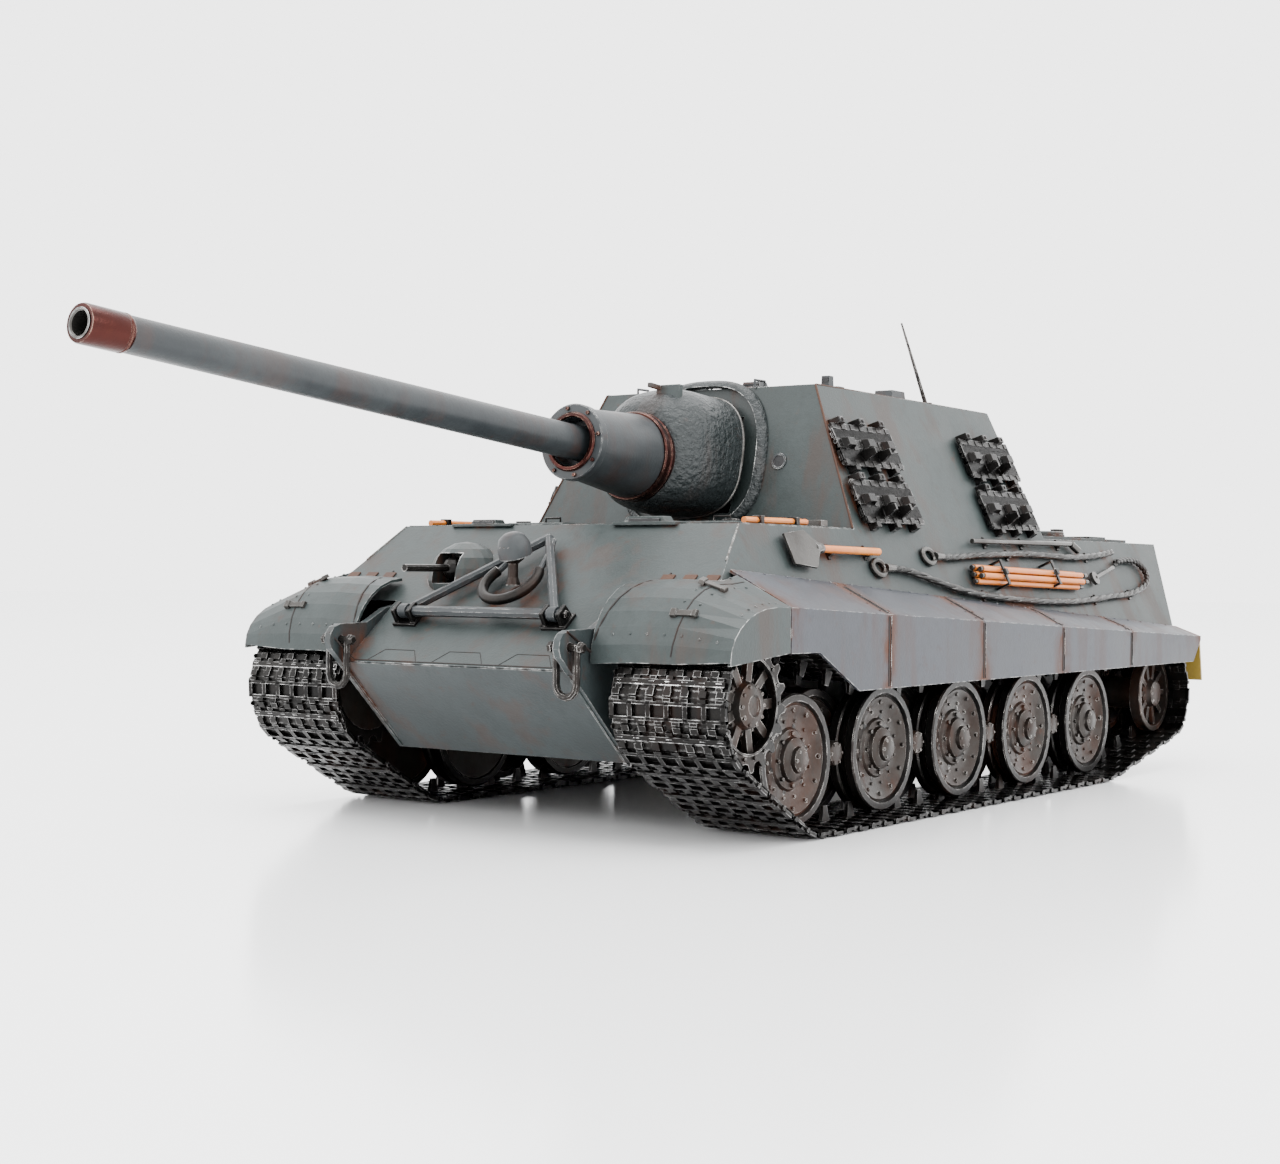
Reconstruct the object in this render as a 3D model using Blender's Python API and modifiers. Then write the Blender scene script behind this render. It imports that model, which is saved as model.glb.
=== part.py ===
"""Radio-controlled model of a heavy casemate tank destroyer, 1:16 scale.

Frame: metres, +Z up, the ground under the tracks at z = 0.  The front of the
tank looks along -Y and its left side is at +X.  The origin is on the ground
under the middle of the overall box, muzzle to exhaust tips.
"""
import math

import bmesh
import bpy
from mathutils import Matrix, Vector

# ---------------------------------------------------------------- sizes
FIT_GAP = 0.0003                 # between pieces that seat on each other
RUNNING_GAP = 0.0003             # radial play of a shaft in its hole

# running gear
WHEEL_COUNT = 9                  # axles on each side
WHEEL_RADIUS = 0.025
WHEEL_PITCH = 0.0331             # from one axle to the next
FIRST_AXLE_Y = -0.0770
WHEEL_DISC_WIDTH = 0.0042
HORN_GROOVE_WIDTH = 0.0030
HORN_GROOVE_DEPTH = 0.0070
WHEEL_CAP_RADIUS = 0.0062
OUTER_WHEEL_FACETS = 16
INNER_WHEEL_FACETS = 12
OUTER_CAP_HEIGHT = 0.0037
INNER_CAP_HEIGHT = 0.0060
AXLE_RADIUS = 0.0024
AXLE_DEPTH_IN_WHEEL = 0.0070

TRACK_WIDTH = 0.0500
TUB_TO_TRACK = 0.0098            # from the tub's side to the track's inner edge
TRACK_THICKNESS = 0.0029
TRACK_PITCH = 0.0094             # nominal, trimmed so that whole links fit
TRACK_PLAY = 0.0008              # between a wheel's rim and the belt
TRACK_NOTCH_DEPTH = 0.0014       # V between two links on the outer face
HORN_OFFSET = 0.0065             # horn lines each side of the track's middle
HORN_HEIGHT = 0.0058
HORN_THICKNESS = 0.0019
HORN_LENGTH = 0.0052
HORN_EVERY = 4                   # links from one pair of horns to the next

SPROCKET_AHEAD = 0.0407          # of the first axle
SPROCKET_Z = 0.0512
SPROCKET_TIP_RADIUS = 0.0243
SPROCKET_ROOT_RADIUS = 0.0212
SPROCKET_TEETH = 18
SPROCKET_RING_OFFSET = 0.0160    # ring centres each side of the track's middle
SPROCKET_RING_THICKNESS = 0.0024
SPROCKET_DRUM_RADIUS = 0.0130
SPROCKET_CAP_RADIUS = 0.0080
DRIVE_SHAFT_RADIUS = 0.0032
DRIVE_SHAFT_LENGTH = 0.0250      # from the inner ring into the gearbox

IDLER_BEHIND = 0.0762            # the last axle
IDLER_Z = 0.0383
IDLER_RADIUS = 0.0192
IDLER_RIM_WIDTH = 0.0060
IDLER_RIM_OFFSET = 0.0120
IDLER_HUB_RADIUS = 0.0085

# lower hull
TUB_HALF_WIDTH = 0.0580
TUB_WALL = 0.0030
BELLY_Z = 0.0275
NOSE_Z = 0.0631
NOSE_AHEAD = 0.0762              # of the first axle
BELLY_FRONT_AHEAD = 0.0414
LUG_RADIUS = 0.0062
LUG_HOLE_RADIUS = 0.0018
LUG_RISE = 0.0085                # pin above the nose line
LUG_AHEAD = 0.0022               # pin ahead of the nose line

# upper hull
DECK_Z = 0.1173
GLACIS_TOP_AHEAD = 0.0092
DECK_HALF_WIDTH = 0.0842         # at DECK_Z
SIDE_LEAN = math.radians(25.0)
HULL_REAR_BEHIND = 0.1292        # rear edge of the deck behind the last axle
DECK_DROP = 0.0025               # of the deck from glacis to rear edge
REAR_LEAN = math.radians(28.4)
SPONSON_FRONT_Z = 0.0862
SPONSON_DROP = 0.0200            # of the sponson floor from sprocket to rear edge
HULL_WALL = 0.0030

# casemate
CASEMATE_FRONT_BEHIND = 0.0770   # foot of the front plate behind the first axle
CASEMATE_LENGTH = 0.1800         # at the deck
CASEMATE_ROOF_Z = 0.1793
CASEMATE_ROOF_DROP = 0.0025
FRONT_LEAN = math.radians(15.0)
CASEMATE_REAR_LEAN = math.radians(3.5)
ROOF_THICKNESS = 0.0024

# skirts and mudguards
SKIRT_CLEARANCE = 0.0022         # from the track's outer edge to the skirt's outer face
SKIRT_THICKNESS = 0.0012
SKIRT_BOTTOM_Z = 0.0542
SKIRT_BEND_Z = 0.0864            # at the front seam
SKIRT_FALL = 0.0484              # drop of the bend for each metre towards the rear
SKIRT_FRONT_AHEAD = 0.0288       # of the first axle
SKIRT_REAR_BEHIND = 0.1075       # the last axle
SHELF_FRONT_Z = 0.1000           # where the sloped sheet meets the hull side
SHELF_FALL = 0.0700
SKIRT_CUT_LENGTH = 0.0290        # diagonal at the lower front corner
SKIRT_CUT_START = 0.0200
MUDGUARD_FRONT_AHEAD = 0.0680
MUDGUARD_FOOT_Z = 0.0664
MUDGUARD_FOOT_RISE = 0.0035      # of the side panel's lower edge towards the skirt
MUDGUARD_HINGE_DROP = 0.0060     # of the hinge line on the glacis below the shelf
FLAP_DROP = 0.0220
FLAP_THICKNESS = 0.0014

# gun
TRUNNION_Y = 0.0230
TRUNNION_Z = 0.1411
GUN_ANGLE = math.radians(5.4)    # elevation as it stands
MUZZLE_REACH = 0.3500            # from the trunnion
BARREL_REAR_RADIUS = 0.0071
BARREL_MUZZLE_RADIUS = 0.0060
MUZZLE_BAND_RADIUS = 0.0065
MUZZLE_BAND_LENGTH = 0.0170
BORE_RADIUS = 0.0038
BORE_DEPTH = 0.0300
RECOIL_STROKE = 0.0100
BARREL_TAIL = 0.0420             # from the trunnion to the barrel's rear end
BARREL_GAP = 0.0004
FLANGE_REACH = 0.1045
FLANGE_RADIUS = 0.0156
FLANGE_THICKNESS = 0.0045
FLANGE_MOUTH_RADIUS = 0.0098
SLEEVE_FRONT_RADIUS = 0.0144
SLEEVE_REAR_RADIUS = 0.0178
SECOND_RING_REACH = 0.0640
SECOND_RING_RADIUS = 0.0189
SECOND_RING_LENGTH = 0.0050
POT_HALF_WIDTH = 0.0275
POT_UP = 0.0325
POT_DOWN = 0.0215
POT_FACETS = 20
POT_TO_PLATE = 0.0045
MANTLET_APERTURE_HALF_WIDTH = 0.0215
MANTLET_APERTURE_LOW = 0.0170    # below the trunnion
MANTLET_APERTURE_HIGH = 0.0250
NECK_RADIUS = 0.0120
TRUNNION_RADIUS = 0.0035
CHEEK_INNER_X = 0.0165
CHEEK_THICKNESS = 0.0030
YOKE_BASE_THICKNESS = 0.0030
YOKE_PIN_RADIUS = 0.0035

# travel lock and bow fittings
LOCK_PIVOT_UP_GLACIS = 0.0262    # along the glacis from the nose line
LOCK_STANDOFF = 0.0042
LOCK_RIGHT_X = -0.0395
LOCK_LEFT_X = 0.0350
LOCK_APEX_X = 0.0040
LOCK_LENGTH = 0.0460
LOCK_TUBE_RADIUS = 0.0021
SADDLE_TUBE_RADIUS = 0.0012
SADDLE_HALF_WIDTH = 0.0118
SADDLE_X = 0.0020
SADDLE_REACH = 0.0190            # ring centre above the lock's pivot
SADDLE_RAIL_HALF = 0.0077        # wide enough to pass over the headlight
SADDLE_RAIL_TOP = 0.0375
HEADLIGHT_UP_GLACIS = 0.0434
HEADLIGHT_RADIUS = 0.0060
HEADLIGHT_HEIGHT = 0.0143
MG_X = -0.0345
MG_UP_GLACIS = 0.0575
MG_DOME_RADIUS = 0.0158
MG_DOME_SINK = 0.0060
MG_BALL_RADIUS = 0.0046
MG_BARREL_RADIUS = 0.0015
MG_BARREL_REACH = 0.0290
SHACKLE_LENGTH = 0.0180
SHACKLE_TUBE_RADIUS = 0.0014
SHACKLE_HALF_WIDTH = 0.0046

# hatches, deck and rear fittings
HATCH_THICKNESS = 0.0020
CREW_HATCH_X = 0.0440
CREW_HATCH_WIDTH = 0.0300
CREW_HATCH_LENGTH = 0.0260
COMMANDER_HATCH_RADIUS = 0.0145
COMMANDER_HATCH_X = -0.0270
COMMANDER_HATCH_BEHIND = 0.0520  # foot of the casemate's front plate
DOOR_WIDTH = 0.0200
DOOR_THICKNESS = 0.0018
DOOR_MID_GAP = 0.0008
DOOR_HEIGHT = 0.0340
ENGINE_DECK_HALF_WIDTH = 0.0720
ENGINE_DECK_THICKNESS = 0.0018
EXHAUST_X = 0.0270
EXHAUST_RADIUS = 0.0050
EXHAUST_REACH = 0.0090           # of the tips behind the deck's rear edge
ANTENNA_X = 0.0370
ANTENNA_BEHIND = 0.1500          # foot of the casemate's front plate
ANTENNA_TIP = (-0.0100, -0.0070, 0.0400)

# inside
BATTERY_SIZE = (0.0600, 0.0700, 0.0240)
BOARD_SIZE = (0.0700, 0.0550, 0.0020)
SPEAKER_RADIUS = 0.0200
BATTERY_FRONT_AHEAD = 0.1298     # ahead of the last axle
GEARBOX_WIDTH = 0.0430
GEARBOX_LENGTH = 0.0480
GEARBOX_HEIGHT = 0.0400
MOTOR_RADIUS = 0.0120
MOTOR_LENGTH = 0.0260
MOTOR_INSET = 0.0200             # from the gearbox's outer face to the motor's axis
MOTOR_RISE = 0.0160              # from the gearbox's foot to the motor's axis
SWITCH_SLOT = (0.0070, 0.0150, 0.0020)
SWITCH_TRAVEL = 0.0040

# ---------------------------------------------------------------- places
TRACK_CENTRE_X = TUB_HALF_WIDTH + TUB_TO_TRACK + TRACK_WIDTH / 2
SKIRT_X = TRACK_CENTRE_X + TRACK_WIDTH / 2 + SKIRT_CLEARANCE
LAST_AXLE_Y = FIRST_AXLE_Y + (WHEEL_COUNT - 1) * WHEEL_PITCH
WHEEL_Z = TRACK_THICKNESS + TRACK_PLAY + WHEEL_RADIUS
SPROCKET_Y = FIRST_AXLE_Y - SPROCKET_AHEAD
IDLER_Y = LAST_AXLE_Y + IDLER_BEHIND
NOSE_Y = FIRST_AXLE_Y - NOSE_AHEAD
BELLY_FRONT_Y = FIRST_AXLE_Y - BELLY_FRONT_AHEAD
GLACIS_TOP_Y = FIRST_AXLE_Y - GLACIS_TOP_AHEAD
DECK_REAR_Y = LAST_AXLE_Y + HULL_REAR_BEHIND
CASEMATE_FRONT_Y = FIRST_AXLE_Y + CASEMATE_FRONT_BEHIND
CASEMATE_REAR_Y = CASEMATE_FRONT_Y + CASEMATE_LENGTH
SKIRT_FRONT_Y = FIRST_AXLE_Y - SKIRT_FRONT_AHEAD
SKIRT_REAR_Y = LAST_AXLE_Y + SKIRT_REAR_BEHIND
GLACIS_SLOPE = math.atan2(DECK_Z - NOSE_Z, GLACIS_TOP_Y - NOSE_Y)
BOW_SLOPE = math.atan2(NOSE_Z - BELLY_Z, BELLY_FRONT_Y - NOSE_Y)
DECK_SLOPE = math.atan2(DECK_DROP, DECK_REAR_Y - GLACIS_TOP_Y)
SPONSON_SLOPE = math.atan2(SPONSON_DROP, DECK_REAR_Y - SPROCKET_Y)
ROOF_SLOPE = math.atan2(CASEMATE_ROOF_DROP, CASEMATE_LENGTH)
SIDES = (("left", 1), ("right", -1))


def deck_z(y):
    """Height of the hull roof at a place along the tank."""
    return DECK_Z - (y - GLACIS_TOP_Y) * math.tan(DECK_SLOPE)


def roof_z(y):
    """Height of the casemate roof at a place along the tank."""
    return CASEMATE_ROOF_Z - (y - CASEMATE_FRONT_Y) * math.tan(ROOF_SLOPE)


def sponson_z(y):
    """Height of the sponson floor at a place along the tank."""
    return SPONSON_FRONT_Z - (y - SPROCKET_Y) * math.tan(SPONSON_SLOPE)


def side_x(z):
    """Half width of the sloped hull side at a height."""
    return DECK_HALF_WIDTH + (DECK_Z - z) * math.tan(SIDE_LEAN)


def rear_y(z):
    """Place of the undercut rear plate at a height."""
    return DECK_REAR_Y - (deck_z(DECK_REAR_Y) - z) * math.tan(REAR_LEAN)


def bow_inside_y(z):
    """Place of the lower bow plate's inner face at a height."""
    return BELLY_FRONT_Y - (z - BELLY_Z) / math.tan(BOW_SLOPE) + TUB_WALL / math.sin(BOW_SLOPE)


def on_glacis(x, up, out=0.0):
    """Point a way up the glacis from the nose line, and out from its face."""
    y = NOSE_Y + up * math.cos(GLACIS_SLOPE) - out * math.sin(GLACIS_SLOPE)
    z = NOSE_Z + up * math.sin(GLACIS_SLOPE) + out * math.cos(GLACIS_SLOPE)
    return Vector((x, y, z))


# ---------------------------------------------------------------- scene helpers
def clear_scene():
    """Remove the scene's objects and leftover meshes."""
    for obj in list(bpy.data.objects):
        bpy.data.objects.remove(obj, do_unlink=True)


def new_collection(name):
    """Make a collection linked to the scene."""
    found = bpy.data.collections.new(name)
    bpy.context.scene.collection.children.link(found)
    return found


clear_scene()
PARTS = new_collection("rc_tank")
CUTTERS = new_collection("cutters")


def paint(name, colour, roughness, metallic=0.0):
    """Make a Principled material."""
    material = bpy.data.materials.new(name)
    material.use_nodes = True
    shader = material.node_tree.nodes["Principled BSDF"]
    shader.inputs["Base Color"].default_value = (*colour, 1.0)
    shader.inputs["Roughness"].default_value = roughness
    shader.inputs["Metallic"].default_value = metallic
    return material


GREY_PAINT = paint("grey_paint", (0.155, 0.170, 0.175), 0.6)
DARK_STEEL = paint("dark_steel", (0.060, 0.058, 0.056), 0.45, 0.8)
WHEEL_PAINT = paint("wheel_paint", (0.120, 0.110, 0.105), 0.5, 0.3)
BLACK_PLASTIC = paint("black_plastic", (0.020, 0.020, 0.022), 0.5)
OLIVE_PAINT = paint("olive_paint", (0.240, 0.200, 0.080), 0.6)
BOARD_GREEN = paint("board_green", (0.020, 0.160, 0.070), 0.5)
WIRE_STEEL = paint("wire_steel", (0.250, 0.250, 0.250), 0.4, 0.9)


def add_mesh(name, mesh_builder, material=None, collection=PARTS):
    """Make an object from a filled bmesh, with round faces shaded smooth."""
    mesh = bpy.data.meshes.new(name)
    mesh_builder.to_mesh(mesh)
    mesh_builder.free()
    mesh.shade_smooth()
    mesh.set_sharp_from_angle(angle=math.radians(35))
    obj = bpy.data.objects.new(name, mesh)
    collection.objects.link(obj)
    if material is not None:
        mesh.materials.append(material)
    if collection is CUTTERS:
        obj.hide_render = True
        obj.display_type = "WIRE"
    return obj


def boolean(target, tool, operation):
    """Add a Boolean modifier of one tool to a part."""
    modifier = target.modifiers.new(operation.lower(), "BOOLEAN")
    modifier.operation = operation
    modifier.object = tool
    return modifier


def cut(target, *tools):
    """Take the tools' space out of a part."""
    for tool in tools:
        boolean(target, tool, "DIFFERENCE")


def join(target, *tools):
    """Weld the tools' shapes onto a part."""
    for tool in tools:
        boolean(target, tool, "UNION")


# ---------------------------------------------------------------- shape helpers
def box(name, low, high, material=None, collection=CUTTERS):
    """Box between two corners."""
    low = Vector(low)
    high = Vector(high)
    shape = bmesh.new()
    bmesh.ops.create_cube(shape, size=1.0)
    size = high - low
    bmesh.ops.scale(shape, vec=size, verts=shape.verts)
    bmesh.ops.translate(shape, vec=(low + high) / 2, verts=shape.verts)
    return add_mesh(name, shape, material, collection)


def trimmed_block(name, low, high, planes, material=None, collection=CUTTERS, inset=0.0):
    """Box trimmed by planes (point, outward normal), each moved inward by the inset."""
    shape = bmesh.new()
    bmesh.ops.create_cube(shape, size=1.0)
    low = Vector(low)
    high = Vector(high)
    bmesh.ops.scale(shape, vec=high - low, verts=shape.verts)
    bmesh.ops.translate(shape, vec=(low + high) / 2, verts=shape.verts)
    for point, normal in planes:
        direction = Vector(normal).normalized()
        place = Vector(point) - direction * inset
        geometry = shape.verts[:] + shape.edges[:] + shape.faces[:]
        cut_result = bmesh.ops.bisect_plane(shape, geom=geometry, dist=1e-7, plane_co=place,
                                            plane_no=direction, clear_outer=True)
        rim = [item for item in cut_result["geom_cut"] if isinstance(item, bmesh.types.BMEdge)]
        bmesh.ops.contextual_create(shape, geom=rim)
    bmesh.ops.recalc_face_normals(shape, faces=shape.faces)
    return add_mesh(name, shape, material, collection)


def cylinder(name, radius, start, end, segments=16, end_radius=None, material=None,
             collection=CUTTERS):
    """Cylinder or cone between two points."""
    start = Vector(start)
    end = Vector(end)
    axis = end - start
    shape = bmesh.new()
    bmesh.ops.create_cone(shape, cap_ends=True, segments=segments, radius1=radius,
                          radius2=radius if end_radius is None else end_radius, depth=axis.length)
    turn = Vector((0, 0, 1)).rotation_difference(axis.normalized()).to_matrix().to_4x4()
    place = Matrix.Translation((start + end) / 2) @ turn
    bmesh.ops.transform(shape, matrix=place, verts=shape.verts)
    return add_mesh(name, shape, material, collection)


def prism(name, outline, low, high, material=None, collection=CUTTERS):
    """Side outline of (y, z) points, extruded across the tank from x = low to high."""
    shape = bmesh.new()
    ring = [shape.verts.new((low, y, z)) for y, z in outline]
    face = shape.faces.new(ring)
    pushed = bmesh.ops.extrude_face_region(shape, geom=[face])
    moved = [item for item in pushed["geom"] if isinstance(item, bmesh.types.BMVert)]
    bmesh.ops.translate(shape, vec=(high - low, 0, 0), verts=moved)
    bmesh.ops.recalc_face_normals(shape, faces=shape.faces)
    return add_mesh(name, shape, material, collection)


def turned(name, profile, segments, material=None, collection=PARTS):
    """Turned solid about its local Z from (radius, height) points, outer side downwards."""
    mesh = bpy.data.meshes.new(name)
    points = [(radius, 0.0, height) for radius, height in profile]
    edges = [(i, i + 1) for i in range(len(points) - 1)]
    mesh.from_pydata(points, edges, [])
    obj = bpy.data.objects.new(name, mesh)
    collection.objects.link(obj)
    if material is not None:
        mesh.materials.append(material)
    if collection is CUTTERS:
        obj.hide_render = True
        obj.display_type = "WIRE"
    screw = obj.modifiers.new("turn", "SCREW")
    screw.steps = segments
    screw.render_steps = segments
    screw.use_merge_vertices = True
    screw.merge_threshold = 1e-5
    screw.use_smooth_shade = True
    return obj


def point_axis(obj, place, direction):
    """Put a turned piece at a place with its local Z along a direction."""
    obj.rotation_mode = "QUATERNION"
    obj.rotation_quaternion = Vector((0, 0, 1)).rotation_difference(Vector(direction).normalized())
    obj.location = place
    return obj


def tube(name, points, radius, material=None, collection=CUTTERS, resolution=2):
    """Round bar along points, made a closed mesh with welded caps."""
    curve = bpy.data.curves.new(name + "_path", "CURVE")
    curve.dimensions = "3D"
    curve.bevel_depth = radius
    curve.bevel_resolution = resolution
    curve.use_fill_caps = True
    spline = curve.splines.new("POLY")
    spline.points.add(len(points) - 1)
    for slot, point in zip(spline.points, points):
        slot.co = (*point, 1.0)
    path = bpy.data.objects.new(name + "_path", curve)
    bpy.context.scene.collection.objects.link(path)
    evaluated = path.evaluated_get(bpy.context.evaluated_depsgraph_get())
    mesh = bpy.data.meshes.new_from_object(evaluated)
    shape = bmesh.new()
    shape.from_mesh(mesh)
    bmesh.ops.remove_doubles(shape, verts=shape.verts, dist=1e-6)
    bmesh.ops.recalc_face_normals(shape, faces=shape.faces)
    bpy.data.objects.remove(path, do_unlink=True)
    bpy.data.meshes.remove(mesh)
    return add_mesh(name, shape, material, collection)


def loft(name, rings, material=None, collection=CUTTERS):
    """Closed skin over rings of equally many points, capped at both ends."""
    shape = bmesh.new()
    rows = [[shape.verts.new(point) for point in ring] for ring in rings]
    count = len(rows[0])
    for near, far in zip(rows, rows[1:]):
        for i in range(count):
            j = (i + 1) % count
            shape.faces.new((near[i], near[j], far[j], far[i]))
    shape.faces.new(rows[0])
    shape.faces.new(rows[-1])
    bmesh.ops.recalc_face_normals(shape, faces=shape.faces)
    return add_mesh(name, shape, material, collection)


def sheet(name, rows, thickness, material, flip=False):
    """Bent sheet through rows of points, thickened behind its face."""
    shape = bmesh.new()
    grid = [[shape.verts.new(point) for point in row] for row in rows]
    for near, far in zip(grid, grid[1:]):
        for i in range(len(near) - 1):
            corners = (near[i], near[i + 1], far[i + 1], far[i])
            shape.faces.new(corners[::-1] if flip else corners)
    obj = add_mesh(name, shape, material, PARTS)
    skin = obj.modifiers.new("thickness", "SOLIDIFY")
    skin.thickness = thickness
    skin.offset = -1.0
    skin.use_even_offset = True
    return obj


def empty(name, place):
    """Empty that marks a joint's axis."""
    holder = bpy.data.objects.new(name, None)
    holder.location = place
    PARTS.objects.link(holder)
    return holder


def hang_on(holder, *pieces):
    """Parent pieces to an empty and keep their places."""
    bpy.context.view_layer.update()
    for piece in pieces:
        world = piece.matrix_world.copy()
        piece.parent = holder
        piece.matrix_parent_inverse = holder.matrix_world.inverted()
        piece.matrix_world = world


def on_axis(piece, place):
    """Hang one moving piece on an empty that marks its joint's axis."""
    hang_on(empty(piece.name + "_axis", place), piece)
    return piece


# ---------------------------------------------------------------- track path
def tangent(start, start_radius, end, end_radius):
    """Points where a belt leaves one pulley and meets the next, pulleys on its left."""
    span = end - start
    along = span.normalized()
    left = Vector((-along.y, along.x))
    cosine = (end_radius - start_radius) / span.length
    sine = math.sqrt(1.0 - cosine * cosine)
    normal = along * cosine + left * sine
    return start - normal * start_radius, end - normal * end_radius


def belt_pulleys():
    """Centres and signed radii that the belt's inner face runs round, in (y, z)."""
    rim = WHEEL_RADIUS + TRACK_PLAY
    bend = 0.080
    rest_z = WHEEL_Z + rim + bend
    return [
        (Vector((FIRST_AXLE_Y, WHEEL_Z)), rim),
        (Vector((LAST_AXLE_Y, WHEEL_Z)), rim),
        (Vector((IDLER_Y, IDLER_Z)), IDLER_RADIUS + TRACK_PLAY),
        (Vector((LAST_AXLE_Y - WHEEL_PITCH / 2, rest_z)), -bend),
        (Vector((FIRST_AXLE_Y + 2 * WHEEL_PITCH, rest_z)), -bend),
        (Vector((SPROCKET_Y, SPROCKET_Z)), SPROCKET_TIP_RADIUS + TRACK_PLAY),
    ]


def belt_path(count):
    """Evenly spaced (point, inward normal) pairs round the belt's inner face."""
    pulleys = belt_pulleys()
    runs = []
    total = len(pulleys)
    for i in range(total):
        centre, radius = pulleys[i]
        following = pulleys[(i + 1) % total]
        runs.append(tangent(centre, radius, *following))
    dense = []
    for i in range(total):
        centre, radius = pulleys[i]
        arrive = runs[i - 1][1]
        leave = runs[i][0]
        first = math.atan2(*(arrive - centre).yx)
        last = math.atan2(*(leave - centre).yx)
        sweep = (last - first) % math.tau if radius > 0 else -((first - last) % math.tau)
        steps = 60
        for k in range(steps + 1):
            angle = first + sweep * k / steps
            offset = Vector((math.cos(angle), math.sin(angle)))
            inward = -offset if radius > 0 else offset
            dense.append((centre + offset * abs(radius), inward))
    reach = [0.0]
    for i in range(len(dense)):
        step = (dense[(i + 1) % len(dense)][0] - dense[i][0]).length
        reach.append(reach[-1] + step)
    length = reach[-1]
    samples = []
    k = 0
    for i in range(count):
        target = length * i / count
        while reach[k + 1] < target:
            k += 1
        share = (target - reach[k]) / max(reach[k + 1] - reach[k], 1e-12)
        here, inward_here = dense[k]
        there, inward_there = dense[(k + 1) % len(dense)]
        samples.append((here.lerp(there, share), inward_here.lerp(inward_there, share).normalized()))
    return samples, length


def link_count():
    """Number of links at about the nominal pitch, a whole number of horn spacings."""
    length = belt_path(4)[1]
    return HORN_EVERY * round(length / TRACK_PITCH / HORN_EVERY)


# ---------------------------------------------------------------- running gear
def make_track(name, side):
    """One closed belt of links with V notches between them and two lines of horns."""
    links = link_count()
    fine = 8
    samples, length = belt_path(links * fine)
    pitch = length / links
    centre_x = side * TRACK_CENTRE_X
    inner = []
    outer = []
    for i in range(links):
        point, inward = samples[i * fine]
        inner.append(point)
        outer.append(point - inward * (TRACK_THICKNESS - TRACK_NOTCH_DEPTH))
        for step in (1, fine - 1):
            edge_point, edge_inward = samples[i * fine + step]
            outer.append(edge_point - edge_inward * TRACK_THICKNESS)
    belt = band(name, inner, outer, centre_x)
    horns = bmesh.new()
    for i in range(0, links, HORN_EVERY):
        middle, inward = samples[i * fine + fine // 2]
        for line in (-1, 1):
            add_horn(horns, middle, inward, centre_x + line * HORN_OFFSET, pitch)
    join(belt, add_mesh(name + "_horns", horns, None, CUTTERS))
    return belt


def band(name, inner, outer, centre_x):
    """Closed band across the track's width between an inner and an outer loop."""
    shape = bmesh.new()
    edges_x = (centre_x - TRACK_WIDTH / 2, centre_x + TRACK_WIDTH / 2)
    rows_in = [[shape.verts.new((x, p.x, p.y)) for p in inner] for x in edges_x]
    rows_out = [[shape.verts.new((x, p.x, p.y)) for p in outer] for x in edges_x]
    for rows in (rows_in, rows_out):
        count = len(rows[0])
        for i in range(count):
            j = (i + 1) % count
            shape.faces.new((rows[0][i], rows[0][j], rows[1][j], rows[1][i]))
    each = len(outer) // len(inner)
    for edge in (0, 1):
        for i in range(len(inner)):
            j = (i + 1) % len(inner)
            rim = [rows_out[edge][(i * each + k) % len(outer)] for k in range(each + 1)]
            shape.faces.new([rows_in[edge][j], rows_in[edge][i]] + rim)
    bmesh.ops.recalc_face_normals(shape, faces=shape.faces)
    return add_mesh(name, shape, DARK_STEEL, PARTS)


def add_horn(shape, middle, inward, x, pitch):
    """Tapered guide horn standing on the belt's inner face."""
    along = Vector((-inward.y, inward.x))
    base = middle - inward * (TRACK_THICKNESS * 0.4)
    tip = middle + inward * HORN_HEIGHT
    length = min(HORN_LENGTH, pitch * 0.6)
    rows = []
    for point, half in ((base, length / 2), (tip, length / 5)):
        corners = [point - along * half, point + along * half]
        row = [(x + dx * HORN_THICKNESS / 2, c.x, c.y) for dx, c in
               ((-1, corners[0]), (-1, corners[1]), (1, corners[1]), (1, corners[0]))]
        rows.append([shape.verts.new(corner) for corner in row])
    low, high = rows
    faces = [shape.faces.new(low[::-1]), shape.faces.new(high)]
    for i in range(4):
        j = (i + 1) % 4
        faces.append(shape.faces.new((low[i], low[j], high[j], high[i])))
    bmesh.ops.recalc_face_normals(shape, faces=faces)


def wheel_line(number):
    """Distance of a road wheel's horn groove from the tank's middle: outer, then inner row."""
    return TRACK_CENTRE_X + (HORN_OFFSET if number % 2 == 1 else -HORN_OFFSET)


def make_road_wheel(name, side, number):
    """Twin-disc road wheel: two rims, the horn groove, a dished face and a hub cap."""
    outer_row = number % 2 == 1
    half = HORN_GROOVE_WIDTH / 2 + WHEEL_DISC_WIDTH
    groove = HORN_GROOVE_WIDTH / 2
    groove_radius = WHEEL_RADIUS - HORN_GROOVE_DEPTH
    cap_top = half + (OUTER_CAP_HEIGHT if outer_row else INNER_CAP_HEIGHT)
    dish = half - 0.0026
    bore = AXLE_RADIUS + RUNNING_GAP
    bore_end = -half + AXLE_DEPTH_IN_WHEEL
    profile = [
        (0.0, cap_top), (WHEEL_CAP_RADIUS, cap_top), (WHEEL_CAP_RADIUS + 0.0008, dish),
        (WHEEL_RADIUS * 0.84, half), (WHEEL_RADIUS, half),
        (WHEEL_RADIUS, groove), (groove_radius, groove), (groove_radius, -groove),
        (WHEEL_RADIUS, -groove), (WHEEL_RADIUS, -half), (bore, -half), (bore, bore_end),
        (0.0, bore_end),
    ]
    wheel = turned(name, profile, OUTER_WHEEL_FACETS if outer_row else INNER_WHEEL_FACETS, WHEEL_PAINT)
    place = (side * wheel_line(number), FIRST_AXLE_Y + (number - 1) * WHEEL_PITCH, WHEEL_Z)
    return point_axis(wheel, place, (side, 0, 0))


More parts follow.
